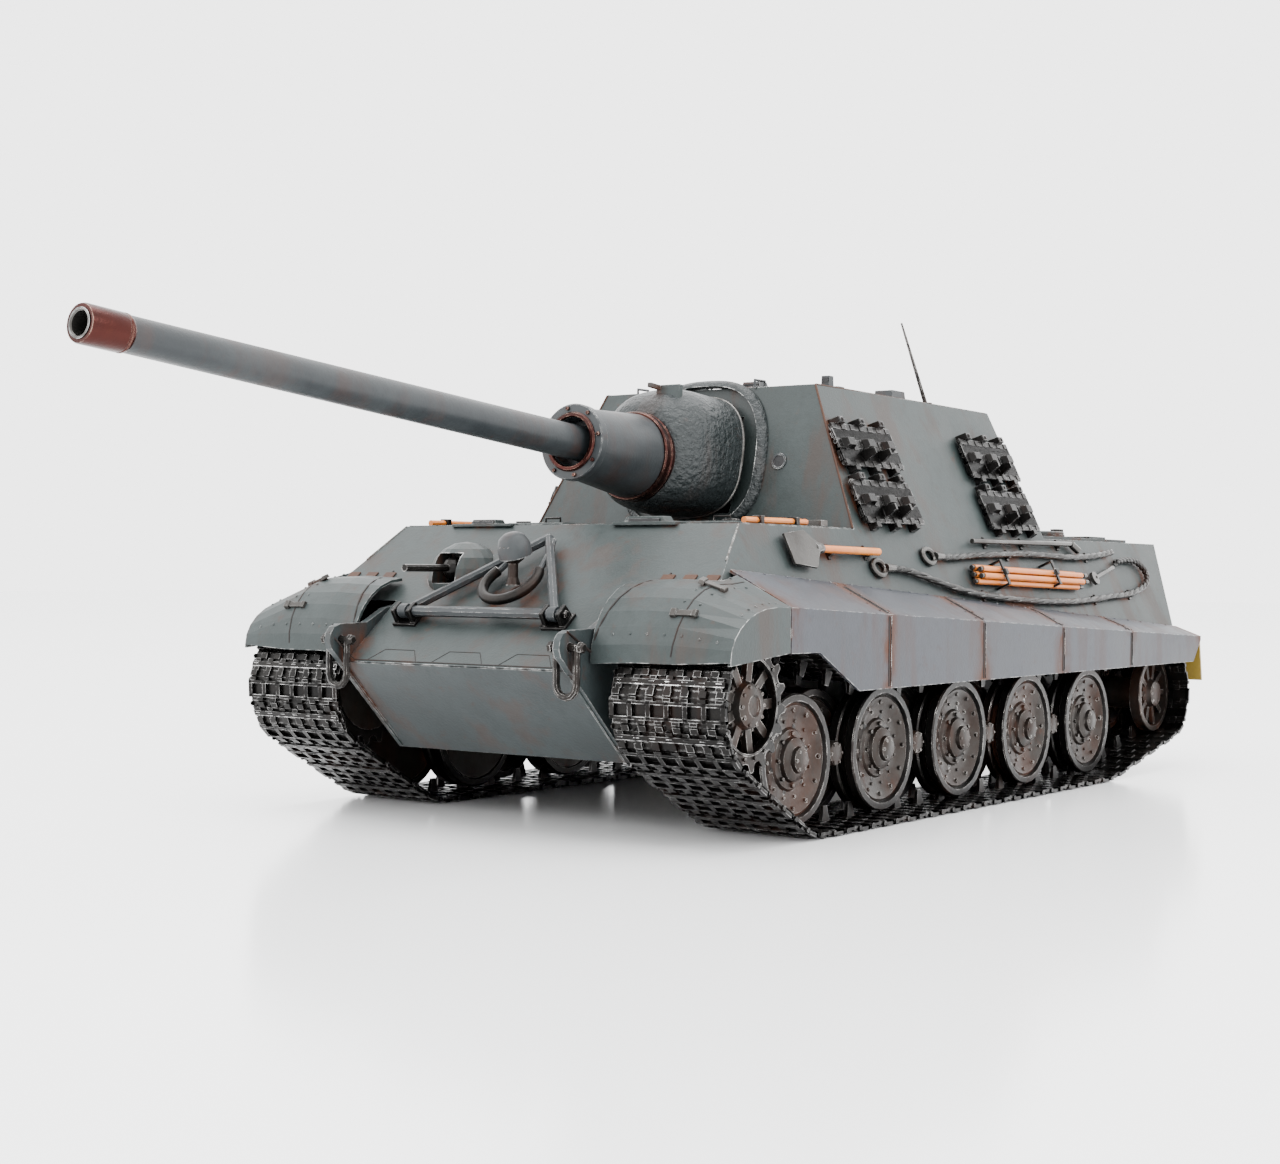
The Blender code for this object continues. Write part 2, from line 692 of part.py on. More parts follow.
def tooth_ring(name, low, high):
    """Toothed ring outline pushed across the track, before it is placed."""
    points = []
    for tooth in range(SPROCKET_TEETH):
        for share, radius in ((0.0, SPROCKET_ROOT_RADIUS), (0.34, SPROCKET_ROOT_RADIUS),
                              (0.67, SPROCKET_TIP_RADIUS)):
            angle = math.tau * (tooth + share) / SPROCKET_TEETH
            points.append((SPROCKET_Y + radius * math.cos(angle), SPROCKET_Z + radius * math.sin(angle)))
    return prism(name, points, low, high)


def make_sprocket(name, side):
    """Drive sprocket: two toothed rings on a drum, a hub cap and the drive shaft."""
    outer = SPROCKET_RING_OFFSET + SPROCKET_RING_THICKNESS / 2
    profile = [
        (0.0, outer + 0.0024), (SPROCKET_CAP_RADIUS, outer + 0.0024),
        (SPROCKET_CAP_RADIUS + 0.001, outer - 0.0012), (SPROCKET_ROOT_RADIUS * 0.75, outer - 0.0012),
        (SPROCKET_DRUM_RADIUS, outer - 0.004), (SPROCKET_DRUM_RADIUS, -outer + 0.001),
        (DRIVE_SHAFT_RADIUS, -outer + 0.001), (DRIVE_SHAFT_RADIUS, -outer - DRIVE_SHAFT_LENGTH),
        (0.0, -outer - DRIVE_SHAFT_LENGTH),
    ]
    sprocket = turned(name, profile, OUTER_WHEEL_FACETS, DARK_STEEL)
    point_axis(sprocket, (side * TRACK_CENTRE_X, SPROCKET_Y, SPROCKET_Z), (side, 0, 0))
    for label, offset in (("outer", SPROCKET_RING_OFFSET), ("inner", -SPROCKET_RING_OFFSET)):
        middle = side * (TRACK_CENTRE_X + offset)
        low = middle - SPROCKET_RING_THICKNESS / 2
        join(sprocket, tooth_ring(name + "_" + label, low, low + SPROCKET_RING_THICKNESS))
    return sprocket


def make_idler(name, side):
    """Rear idler: two smooth rims outside the horn lines, joined by a hub."""
    far = IDLER_RIM_OFFSET + IDLER_RIM_WIDTH / 2
    near = IDLER_RIM_OFFSET - IDLER_RIM_WIDTH / 2
    bore = AXLE_RADIUS + RUNNING_GAP
    profile = [
        (0.0, far + 0.0012), (WHEEL_CAP_RADIUS, far + 0.0012), (WHEEL_CAP_RADIUS + 0.001, far - 0.002),
        (IDLER_RADIUS * 0.85, far - 0.002), (IDLER_RADIUS * 0.9, far), (IDLER_RADIUS, far),
        (IDLER_RADIUS, near), (IDLER_HUB_RADIUS, near), (IDLER_HUB_RADIUS, -near),
        (IDLER_RADIUS, -near), (IDLER_RADIUS, -far), (bore, -far), (bore, -far + AXLE_DEPTH_IN_WHEEL),
        (0.0, -far + AXLE_DEPTH_IN_WHEEL),
    ]
    idler = turned(name, profile, OUTER_WHEEL_FACETS, WHEEL_PAINT)
    return point_axis(idler, (side * TRACK_CENTRE_X, IDLER_Y, IDLER_Z), (side, 0, 0))


def make_suspension(name, side):
    """Rail on the tub side with a trailing arm and a stub axle for every wheel."""
    near = TUB_HALF_WIDTH + FIT_GAP
    rail_far = near + 0.0032
    arm_low = near + 0.0008
    arm_far = near + 0.0060

    def across(low, high):
        return (low, high) if side > 0 else (-high, -low)

    low_x, high_x = across(near, rail_far)
    rail = box(name, (low_x, FIRST_AXLE_Y - 0.006, WHEEL_Z + 0.003),
               (high_x, IDLER_Y + 0.006, WHEEL_Z + 0.013), WHEEL_PAINT, PARTS)
    arm_x = across(arm_low, arm_far)
    half_disc = HORN_GROOVE_WIDTH / 2 + WHEEL_DISC_WIDTH
    for number in range(1, WHEEL_COUNT + 1):
        y = FIRST_AXLE_Y + (number - 1) * WHEEL_PITCH
        arm = [(y - 0.004, WHEEL_Z - 0.004), (y + 0.004, WHEEL_Z - 0.004),
               (y + 0.016, WHEEL_Z + 0.005), (y + 0.016, WHEEL_Z + 0.011),
               (y + 0.010, WHEEL_Z + 0.011), (y - 0.004, WHEEL_Z + 0.004)]
        join(rail, prism("{}_arm_{}".format(name, number), arm, *arm_x))
        tip = wheel_line(number) - half_disc + AXLE_DEPTH_IN_WHEEL - RUNNING_GAP
        axle = cylinder("{}_axle_{}".format(name, number), AXLE_RADIUS,
                        (side * (near + 0.003), y, WHEEL_Z), (side * tip, y, WHEEL_Z), 10)
        join(rail, axle)
    idler_inner = TRACK_CENTRE_X - IDLER_RIM_OFFSET - IDLER_RIM_WIDTH / 2
    idler_tip = idler_inner + AXLE_DEPTH_IN_WHEEL - RUNNING_GAP
    join(rail, cylinder(name + "_idler_axle", AXLE_RADIUS, (side * (near + 0.001), IDLER_Y, IDLER_Z),
                        (side * idler_tip, IDLER_Y, IDLER_Z), 10))
    return rail


# ---------------------------------------------------------------- hull
def lug_pin():
    """Place (y, z) of the front towing pins."""
    return NOSE_Y - LUG_AHEAD, NOSE_Z + LUG_RISE


def make_lower_hull():
    """Open-topped tub whose side plates run on past the nose as towing lugs."""
    pin_y, pin_z = lug_pin()
    lug = []
    for k in range(6):
        angle = math.radians(245 - 30 * k)
        lug.append((pin_y + LUG_RADIUS * math.cos(angle), pin_z + LUG_RADIUS * math.sin(angle)))
    rail_top = NOSE_Z + 0.0150
    top_front = on_glacis(0, (sponson_z(SPROCKET_Y) - NOSE_Z) / math.sin(GLACIS_SLOPE) - 0.006, 0.0015)
    top_rear_z = sponson_z(DECK_REAR_Y) - FIT_GAP
    outline = [(BELLY_FRONT_Y, BELLY_Z)] + lug + [
        (NOSE_Y + 0.0120, rail_top), (top_front.y, top_front.z),
        (top_front.y + 0.012, sponson_z(top_front.y + 0.012) - FIT_GAP),
        (rear_y(top_rear_z), sponson_z(rear_y(top_rear_z)) - FIT_GAP), (rear_y(BELLY_Z), BELLY_Z),
    ]
    tub = prism("lower_hull", outline, -TUB_HALF_WIDTH, TUB_HALF_WIDTH, GREY_PAINT, PARTS)
    inner = TUB_HALF_WIDTH - TUB_WALL
    well = [
        (bow_inside_y(BELLY_Z + TUB_WALL), BELLY_Z + TUB_WALL), (bow_inside_y(NOSE_Z), NOSE_Z),
        (bow_inside_y(NOSE_Z), NOSE_Z + 0.08), (DECK_REAR_Y, NOSE_Z + 0.08),
        (rear_y(NOSE_Z + 0.01) - TUB_WALL, NOSE_Z + 0.01),
        (rear_y(BELLY_Z + TUB_WALL) - TUB_WALL * 1.2, BELLY_Z + TUB_WALL),
    ]
    front = [
        (BELLY_FRONT_Y, BELLY_Z), (BELLY_FRONT_Y - 0.06, BELLY_Z), (NOSE_Y - 0.03, NOSE_Z + 0.08),
        (NOSE_Y + 0.04, NOSE_Z + 0.08), (bow_inside_y(NOSE_Z) + 0.001, NOSE_Z - FIT_GAP),
        (NOSE_Y, NOSE_Z - FIT_GAP),
    ]
    cut(tub, prism("tub_well", well, -inner, inner), prism("nose_space", front, -inner, inner))
    for _, side in SIDES:
        edge = side * TUB_HALF_WIDTH
        cut(tub, cylinder("lug_hole", LUG_HOLE_RADIUS, (edge - 0.006, pin_y, pin_z),
                          (edge + 0.006, pin_y, pin_z), 12))
        cut(tub, cylinder("shaft_hole", DRIVE_SHAFT_RADIUS + RUNNING_GAP,
                          (edge - 0.006, SPROCKET_Y, SPROCKET_Z),
                          (edge + 0.006, SPROCKET_Y, SPROCKET_Z), 16))
    half_x, length, depth = SWITCH_SLOT[0] / 2, SWITCH_SLOT[1], SWITCH_SLOT[2]
    cut(tub, box("switch_slot", (-half_x, 0.0, BELLY_Z - 0.002), (half_x, length, BELLY_Z + depth)))
    return tub


def hull_planes():
    """Outer faces of the hull above the sponson floor, as (point, outward normal)."""
    lean = math.tan(SIDE_LEAN)
    glacis = (0, -math.sin(GLACIS_SLOPE), math.cos(GLACIS_SLOPE))
    return [
        ((DECK_HALF_WIDTH, 0, DECK_Z), (1, 0, lean)),
        ((-DECK_HALF_WIDTH, 0, DECK_Z), (-1, 0, lean)),
        ((0, NOSE_Y, NOSE_Z), glacis),
        ((0, DECK_REAR_Y, deck_z(DECK_REAR_Y)), (0, 1, -math.tan(REAR_LEAN))),
    ]


FLOOR_PLANE = ((0, SPROCKET_Y, SPONSON_FRONT_Z), (0, -math.tan(SPONSON_SLOPE), -1))
ROOF_PLANE = ((0, CASEMATE_FRONT_Y, CASEMATE_ROOF_Z), (0, math.tan(ROOF_SLOPE), 1))
DECK_PLANE = ((0, GLACIS_TOP_Y, DECK_Z), (0, math.tan(DECK_SLOPE), 1))
FRONT_PLATE = ((0, CASEMATE_FRONT_Y, DECK_Z), (0, -1, math.tan(FRONT_LEAN)))
REAR_PLATE = ((0, CASEMATE_REAR_Y, DECK_Z), (0, 1, math.tan(CASEMATE_REAR_LEAN)))


def flipped(plane):
    """The same plane facing the other way."""
    point, normal = plane
    return point, tuple(-part for part in normal)


def make_upper_hull():
    """Sponsons, glacis, hull roof and casemate walls as one shell."""
    low = (-0.14, NOSE_Y - 0.02, BELLY_Z)
    high = (0.14, DECK_REAR_Y + 0.02, CASEMATE_ROOF_Z + 0.01)
    hull = trimmed_block("upper_hull", low, high, hull_planes() + [FLOOR_PLANE, ROOF_PLANE],
                         GREY_PAINT, PARTS)
    tall = (0.2, DECK_REAR_Y + 0.1, CASEMATE_ROOF_Z + 0.05)
    short = (-0.2, NOSE_Y - 0.1, BELLY_Z)
    ahead = trimmed_block("ahead_of_casemate", short, tall, [flipped(DECK_PLANE), flipped(FRONT_PLATE)])
    behind = trimmed_block("behind_casemate", short, tall, [flipped(DECK_PLANE), flipped(REAR_PLATE)])
    cut(hull, ahead, behind)
    nose_half = TUB_HALF_WIDTH - TUB_WALL - FIT_GAP
    nose = trimmed_block("nose_plate", (-nose_half, NOSE_Y - 0.01, NOSE_Z),
                         (nose_half, GLACIS_TOP_Y, SPONSON_FRONT_Z + 0.006), [hull_planes()[2]])
    join(hull, nose)
    room = trimmed_block("hull_room", low, high, hull_planes() + [DECK_PLANE, FLOOR_PLANE], inset=HULL_WALL)
    walls = trimmed_block("casemate_room", (-0.14, NOSE_Y, DECK_Z - 0.0001), tall,
                          hull_planes() + [FRONT_PLATE, REAR_PLATE], inset=HULL_WALL)
    well_half = TUB_HALF_WIDTH - TUB_WALL / 2
    well = trimmed_block("well", (-well_half, NOSE_Y - 0.02, BELLY_Z),
                         (well_half, DECK_REAR_Y, DECK_Z - HULL_WALL * 2),
                         [hull_planes()[2], hull_planes()[3]], inset=HULL_WALL)
    floor_gap = box("casemate_floor_gap", (-0.064, CASEMATE_FRONT_Y + 0.052, DECK_Z - 0.02),
                    (0.064, CASEMATE_REAR_Y - 0.010, DECK_Z + 0.004))
    engine_gap = box("engine_bay_gap", (-0.062, CASEMATE_REAR_Y + 0.012, DECK_Z - 0.02),
                     (0.062, DECK_REAR_Y - 0.014, DECK_Z + 0.01))
    aperture = box("mantlet_aperture", (-MANTLET_APERTURE_HALF_WIDTH, CASEMATE_FRONT_Y - 0.01,
                                        TRUNNION_Z - MANTLET_APERTURE_LOW),
                   (MANTLET_APERTURE_HALF_WIDTH, TRUNNION_Y, TRUNNION_Z + MANTLET_APERTURE_HIGH))
    pin_hole = cylinder("yoke_pin_hole", YOKE_PIN_RADIUS + RUNNING_GAP, (0, TRUNNION_Y, DECK_Z - 0.01),
                        (0, TRUNNION_Y, DECK_Z + 0.01), 16)
    cut(hull, room, walls, well, floor_gap, engine_gap, aperture, pin_hole)
    add_bow_dome(hull)
    return hull


def add_bow_dome(hull):
    """Cast dome on the glacis round the bow machine gun, with its firing notch."""
    centre = on_glacis(MG_X, MG_UP_GLACIS, -MG_DOME_SINK)
    shape = bmesh.new()
    bmesh.ops.create_uvsphere(shape, u_segments=20, v_segments=10, radius=MG_DOME_RADIUS)
    bmesh.ops.translate(shape, vec=centre, verts=shape.verts)
    point, normal = hull_planes()[2]
    inner = Vector(point) - Vector(normal).normalized() * HULL_WALL * 0.5
    geometry = shape.verts[:] + shape.edges[:] + shape.faces[:]
    trimmed = bmesh.ops.bisect_plane(shape, geom=geometry, plane_co=inner,
                                     plane_no=Vector(normal), clear_inner=True)
    rim = [item for item in trimmed["geom_cut"] if isinstance(item, bmesh.types.BMEdge)]
    bmesh.ops.contextual_create(shape, geom=rim)
    bmesh.ops.recalc_face_normals(shape, faces=shape.faces)
    join(hull, add_mesh("bow_dome", shape, None, CUTTERS))
    ball = mg_centre()
    half = MG_BALL_RADIUS + 0.0014
    notch = box("mg_notch", (ball.x - half, ball.y - 0.03, ball.z - half),
                (ball.x + half, ball.y + half, ball.z + half))
    cut(hull, notch)


def mg_centre():
    """Middle of the bow machine gun's ball."""
    return on_glacis(MG_X, MG_UP_GLACIS - 0.0030, 0.0030)


def make_roof():
    """Casemate roof plate, let in between the walls."""
    edges = hull_planes() + [FRONT_PLATE, REAR_PLATE]
    roof = trimmed_block("casemate_roof", (-0.14, NOSE_Y, CASEMATE_ROOF_Z - 0.02),
                         (0.14, DECK_REAR_Y, CASEMATE_ROOF_Z + 0.02), edges, GREY_PAINT, PARTS,
                         inset=HULL_WALL + FIT_GAP)
    point, normal = ROOF_PLANE
    above = trimmed_block("above_roof", (-0.2, -0.3, 0.1), (0.2, 0.4, 0.3), [flipped(ROOF_PLANE)])
    low_point = (point[0], point[1], point[2] - ROOF_THICKNESS)
    below = trimmed_block("below_roof", (-0.2, -0.3, 0.1), (0.2, 0.4, 0.3), [(low_point, normal)])
    cut(roof, above, below)
    hatch_y = CASEMATE_FRONT_Y + COMMANDER_HATCH_BEHIND
    seat_z = roof_z(hatch_y)
    join(roof, cylinder("hatch_ring", COMMANDER_HATCH_RADIUS + 0.003,
                        (COMMANDER_HATCH_X, hatch_y, seat_z - 0.0015),
                        (COMMANDER_HATCH_X, hatch_y, seat_z + 0.0010), 24))
    return roof


def make_engine_deck():
    """Removable engine deck with two raised fan rings and a middle cover."""
    front = CASEMATE_REAR_Y + 0.006
    rear = DECK_REAR_Y - 0.006
    base = deck_z(front) + FIT_GAP
    half = ENGINE_DECK_HALF_WIDTH
    top = ENGINE_DECK_THICKNESS
    outline = [(front, base), (rear, deck_z(rear) + FIT_GAP), (rear, deck_z(rear) + FIT_GAP + top),
               (front, base + top)]
    deck = prism("engine_deck", outline, -half, half, GREY_PAINT, PARTS)
    middle = (front + rear) / 2
    seat = deck_z(middle) + FIT_GAP + top
    for _, side in SIDES:
        centre = (side * half * 0.6, middle)
        join(deck, cylinder("fan_ring", 0.0200, (*centre, seat - 0.001), (*centre, seat + 0.0016), 20))
    join(deck, box("engine_cover", (-0.0180, middle - 0.035, seat - 0.001),
                   (0.0180, middle + 0.035, seat + 0.0016)))
    return deck


# ---------------------------------------------------------------- skirts and mudguards
def bend_z(y):
    """Height of the skirt's upper bend."""
    return SKIRT_BEND_Z - (y - SKIRT_FRONT_Y) * SKIRT_FALL


def shelf_z(y):
    """Height where the sloped sheet meets the hull side."""
    return SHELF_FRONT_Z - (y - SKIRT_FRONT_Y) * SHELF_FALL


def make_skirt(name, side):
    """Track cover: a sloped shelf from the hull side, bent down into a side panel."""
    start = SKIRT_FRONT_Y + FIT_GAP
    cut_y = start + SKIRT_CUT_START
    stops = [(start, SKIRT_BOTTOM_Z + 0.0155), (cut_y, SKIRT_BOTTOM_Z + 0.0153),
             (cut_y + SKIRT_CUT_LENGTH, SKIRT_BOTTOM_Z), (SKIRT_REAR_Y - 0.010, SKIRT_BOTTOM_Z),
             (SKIRT_REAR_Y, bend_z(SKIRT_REAR_Y) - 0.002)]
    rows = []
    for y, bottom in stops:
        height = shelf_z(y)
        edge = side_x(height) + SKIRT_THICKNESS
        rows.append([(side * edge, y, height), (side * SKIRT_X, y, bend_z(y)),
                     (side * SKIRT_X, y, bottom)])
    return sheet(name, rows, SKIRT_THICKNESS, GREY_PAINT, flip=side < 0)


def make_mudguard(name, side):
    """Front mudguard: curved over the sprocket, folded down at its outer edge."""
    back = SKIRT_FRONT_Y - FIT_GAP
    front = FIRST_AXLE_Y - MUDGUARD_FRONT_AHEAD
    hinge_z = shelf_z(back) - MUDGUARD_HINGE_DROP
    hinge = on_glacis(0, (hinge_z - NOSE_Z) / math.sin(GLACIS_SLOPE), SKIRT_THICKNESS * 1.6)
    inner_x = TUB_HALF_WIDTH + 0.0012
    corner_x = side_x(hinge_z) + SKIRT_THICKNESS * 1.5
    columns = [(inner_x, hinge.z, MUDGUARD_FOOT_Z - 0.0008),
               ((inner_x + corner_x) / 2, hinge.z + 0.0008, MUDGUARD_FOOT_Z),
               (corner_x, hinge.z + 0.0002, MUDGUARD_FOOT_Z),
               (SKIRT_X, bend_z(back), MUDGUARD_FOOT_Z + 0.0012)]
    steps = 7
    rows = []
    for k in range(steps + 1):
        angle = math.radians(90) * k / steps
        y = hinge.y + (front - hinge.y) * math.sin(angle)
        row = [(side * x, y, top + (foot - top) * (1 - math.cos(angle))) for x, top, foot in columns]
        foot_z = MUDGUARD_FOOT_Z + (y - front) / (back - front) * MUDGUARD_FOOT_RISE
        row.append((side * SKIRT_X, y, min(foot_z, row[-1][2] - 0.0006)))
        rows.append(row)
    guard = sheet(name, rows, SKIRT_THICKNESS, GREY_PAINT, flip=side > 0)
    shelf = shelf_z(back) - (corner_x - side_x(shelf_z(back))) * 0.5
    strip = [[(side * corner_x, back, shelf), (side * SKIRT_X, back, bend_z(back)),
              (side * SKIRT_X, back, MUDGUARD_FOOT_Z + MUDGUARD_FOOT_RISE)],
             [rows[0][2], rows[0][3], rows[0][4]]]
    add_strip(guard, strip, side > 0)
    return guard


def add_strip(obj, rows, flip):
    """Add rows of faces to an open sheet, welded where they meet it."""
    shape = bmesh.new()
    shape.from_mesh(obj.data)
    near, far = [[shape.verts.new(point) for point in row] for row in rows]
    for i in range(len(near) - 1):
        corners = (near[i], near[i + 1], far[i + 1], far[i])
        shape.faces.new(corners[::-1] if flip else corners)
    bmesh.ops.remove_doubles(shape, verts=shape.verts, dist=1e-6)
    shape.to_mesh(obj.data)
    shape.free()


def make_rear_flap(name, side):
    """Mud flap hanging behind the track from the rear end of the shelf."""
    y = SKIRT_REAR_Y + 0.0006
    top = bend_z(SKIRT_REAR_Y) - 0.001
    inner = TUB_HALF_WIDTH + 0.010
    outer = SKIRT_X - 0.0012
    low_x, high_x = sorted((side * inner, side * outer))
    lean = 0.0035
    outline = [(y, top), (y + lean, top - FLAP_DROP), (y + lean + FLAP_THICKNESS, top - FLAP_DROP),
               (y + FLAP_THICKNESS, top)]
    return prism(name, outline, low_x, high_x, OLIVE_PAINT, PARTS)


# ---------------------------------------------------------------- gun
GUN_FORWARD = Vector((0, -math.cos(GUN_ANGLE), math.sin(GUN_ANGLE)))
GUN_UP = Vector((0, math.sin(GUN_ANGLE), math.cos(GUN_ANGLE)))
TRUNNION = Vector((0, TRUNNION_Y, TRUNNION_Z))


def on_gun(reach):
    """Point on the barrel's axis, a reach ahead of the trunnion."""
    return TRUNNION + GUN_FORWARD * reach


def barrel_radius(reach):
    """Barrel radius: a straight taper from the flange to the muzzle band."""
    share = (reach - FLANGE_REACH) / (MUZZLE_REACH - FLANGE_REACH)
    return BARREL_REAR_RADIUS + (BARREL_MUZZLE_RADIUS - BARREL_REAR_RADIUS) * max(share, 0.0)


def make_barrel():
    """Tapered barrel with the muzzle band and an open bore."""
    band_start = MUZZLE_REACH - MUZZLE_BAND_LENGTH
    profile = [
        (0.0, MUZZLE_REACH - BORE_DEPTH), (BORE_RADIUS, MUZZLE_REACH - BORE_DEPTH),
        (BORE_RADIUS, MUZZLE_REACH), (MUZZLE_BAND_RADIUS, MUZZLE_REACH),
        (MUZZLE_BAND_RADIUS, band_start), (barrel_radius(band_start), band_start),
        (BARREL_REAR_RADIUS, FLANGE_REACH), (BARREL_REAR_RADIUS, BARREL_TAIL), (0.0, BARREL_TAIL),
    ]
    barrel = turned("gun_barrel", profile, 20, GREY_PAINT)
    return point_axis(barrel, TRUNNION, GUN_FORWARD)


def pot_ring(reach, scale, drop=1.0):
    """Rounded-square section of the cast mantlet at a reach ahead of the trunnion."""
    centre = on_gun(reach)
    ring = []
    for k in range(POT_FACETS):
        angle = math.tau * k / POT_FACETS
        across = math.cos(angle)
        rise = math.sin(angle)
        width = POT_HALF_WIDTH * scale * math.copysign(abs(across) ** 0.75, across)
        tall = POT_UP * scale if rise > 0 else POT_DOWN * drop
        height = tall * math.copysign(abs(rise) ** 0.75, rise)
        ring.append(centre + Vector((width, 0, 0)) + GUN_UP * height)
    return ring


def make_mantlet():
    """Cast mantlet with its sleeve, bolted flange, neck and trunnion pins."""
    pot_front = SECOND_RING_REACH - SECOND_RING_LENGTH
    sections = [(0.008, 1.0, 1.0), (pot_front - 0.022, 0.99, 1.0), (pot_front - 0.010, 0.90, 0.97),
                (pot_front - 0.003, 0.76, 0.92), (pot_front, 0.62, 0.80)]
    mantlet = loft("gun_mantlet", [pot_ring(*section) for section in sections], GREY_PAINT, PARTS)
    point, normal = FRONT_PLATE
    rake = Vector(point) + Vector(normal).normalized() * POT_TO_PLATE
    behind = trimmed_block("behind_pot", (-0.1, -0.15, 0.05), (0.1, 0.15, 0.25),
                           [(rake, normal)])
    cut(mantlet, behind)
    flange_back = FLANGE_REACH - FLANGE_THICKNESS
    sleeve = turned("sleeve", [
        (0.0, FLANGE_REACH), (FLANGE_RADIUS, FLANGE_REACH), (FLANGE_RADIUS, flange_back),
        (SLEEVE_FRONT_RADIUS, flange_back), (SLEEVE_REAR_RADIUS, SECOND_RING_REACH),
        (SECOND_RING_RADIUS, SECOND_RING_REACH), (SECOND_RING_RADIUS, pot_front - 0.004),
        (NECK_RADIUS, pot_front - 0.006), (NECK_RADIUS, -0.006), (0.0, -0.006)], 20, None, CUTTERS)
    point_axis(sleeve, TRUNNION, GUN_FORWARD)
    join(mantlet, sleeve)
    pin_reach = CHEEK_INNER_X + CHEEK_THICKNESS + 0.0010
    join(mantlet, cylinder("trunnions", TRUNNION_RADIUS, TRUNNION - Vector((pin_reach, 0, 0)),
                           TRUNNION + Vector((pin_reach, 0, 0)), 16))
    tunnel_end = BARREL_TAIL - RECOIL_STROKE - 0.0010
    bore = cylinder("barrel_tunnel", BARREL_REAR_RADIUS + BARREL_GAP, on_gun(tunnel_end),
                    on_gun(FLANGE_REACH + 0.01), 16)
    mouth = cylinder("flange_mouth", FLANGE_MOUTH_RADIUS, on_gun(FLANGE_REACH - 0.008),
                     on_gun(FLANGE_REACH + 0.01), 16)
    cut(mantlet, bore, mouth)
    return mantlet


def make_yoke():
    """Turning yoke: a base on the casemate floor, two cheeks and the pivot pin."""
    floor_z = DECK_Z + FIT_GAP
    far = CHEEK_INNER_X + CHEEK_THICKNESS
    half_length = 0.0105
    yoke = box("gun_yoke", (-far, TRUNNION_Y - half_length, floor_z),
               (far, TRUNNION_Y + half_length, floor_z + YOKE_BASE_THICKNESS), DARK_STEEL, PARTS)
    for _, side in SIDES:
        low, high = sorted((side * CHEEK_INNER_X, side * far))
        cheek = [(TRUNNION_Y - half_length + 0.001, floor_z + 0.001),
                 (TRUNNION_Y + half_length - 0.001, floor_z + 0.001),
                 (TRUNNION_Y + 0.0070, TRUNNION_Z + 0.0050), (TRUNNION_Y - 0.0070, TRUNNION_Z + 0.0050)]
        join(yoke, prism("cheek", cheek, low, high))
    cut(yoke, cylinder("trunnion_holes", TRUNNION_RADIUS + RUNNING_GAP, (-far - 0.01, TRUNNION_Y, TRUNNION_Z),
                       (far + 0.01, TRUNNION_Y, TRUNNION_Z), 16))
    join(yoke, cylinder("yoke_pin", YOKE_PIN_RADIUS, (0, TRUNNION_Y, DECK_Z - HULL_WALL - 0.003),
                        (0, TRUNNION_Y, floor_z + 0.001), 16))
    return yoke


# ---------------------------------------------------------------- bow fittings
def lock_point(x, reach):
    """Point on the folded travel lock, a reach up the glacis from its pivot."""
    return on_glacis(x, LOCK_PIVOT_UP_GLACIS + reach, LOCK_STANDOFF)


def make_travel_lock():
    """Gun travel lock folded on the glacis: crossbar, two legs and the saddle ring."""
    bar = tube("travel_lock", [lock_point(LOCK_RIGHT_X - 0.004, 0), lock_point(LOCK_LEFT_X + 0.004, 0)],
               LOCK_TUBE_RADIUS, GREY_PAINT, PARTS)
    apex = lock_point(LOCK_APEX_X, LOCK_LENGTH)
    for label, x in (("right", LOCK_RIGHT_X), ("left", LOCK_LEFT_X)):
        join(bar, tube("lock_leg_" + label, [lock_point(x, 0), apex], LOCK_TUBE_RADIUS * 0.9))
    ring = []
    for k in range(11):
        angle = math.radians(150 + 240 * k / 10)
        ring.append(lock_point(SADDLE_X + SADDLE_HALF_WIDTH * math.cos(angle),
                               SADDLE_REACH + SADDLE_HALF_WIDTH * math.sin(angle)))
    rails = []
    for turn in (-1, 1):
        rails.append([lock_point(SADDLE_X + turn * SADDLE_RAIL_HALF, SADDLE_RAIL_TOP),
                      lock_point(LOCK_APEX_X + turn * 0.0030, LOCK_LENGTH - 0.0015)])
    points = rails[0][::-1] + ring + rails[1]
    join(bar, tube("lock_saddle", points, SADDLE_TUBE_RADIUS))
    return on_axis(bar, lock_point(0, 0))


def make_headlight():
    """Headlight ball on a flared post that stands on the glacis."""
    foot = on_glacis(SADDLE_X, HEADLIGHT_UP_GLACIS, FIT_GAP)
    foot = foot + Vector((0, 0, 0.0026))
    light = turned("headlight", [
        (0.0, HEADLIGHT_HEIGHT + HEADLIGHT_RADIUS),
        (HEADLIGHT_RADIUS * 0.7, HEADLIGHT_HEIGHT + HEADLIGHT_RADIUS * 0.7),
        (HEADLIGHT_RADIUS, HEADLIGHT_HEIGHT),
        (HEADLIGHT_RADIUS * 0.7, HEADLIGHT_HEIGHT - HEADLIGHT_RADIUS * 0.7),
        (0.0020, HEADLIGHT_HEIGHT - HEADLIGHT_RADIUS), (0.0020, 0.0030), (0.0030, 0.0), (0.0, 0.0)],
        16, GREY_PAINT)
    light.location = foot
    return light


def make_bow_mg():
    """Bow machine gun: a ball in the dome with a slim barrel."""
    centre = mg_centre()
    shape = bmesh.new()
    bmesh.ops.create_uvsphere(shape, u_segments=14, v_segments=8, radius=MG_BALL_RADIUS)
    gun = add_mesh("bow_mg", shape, DARK_STEEL, PARTS)
    gun.location = centre
    tip = centre + Vector((0, -MG_BARREL_REACH, 0))
    join(gun, cylinder("mg_barrel", MG_BARREL_RADIUS, centre, tip, 10))
    return gun


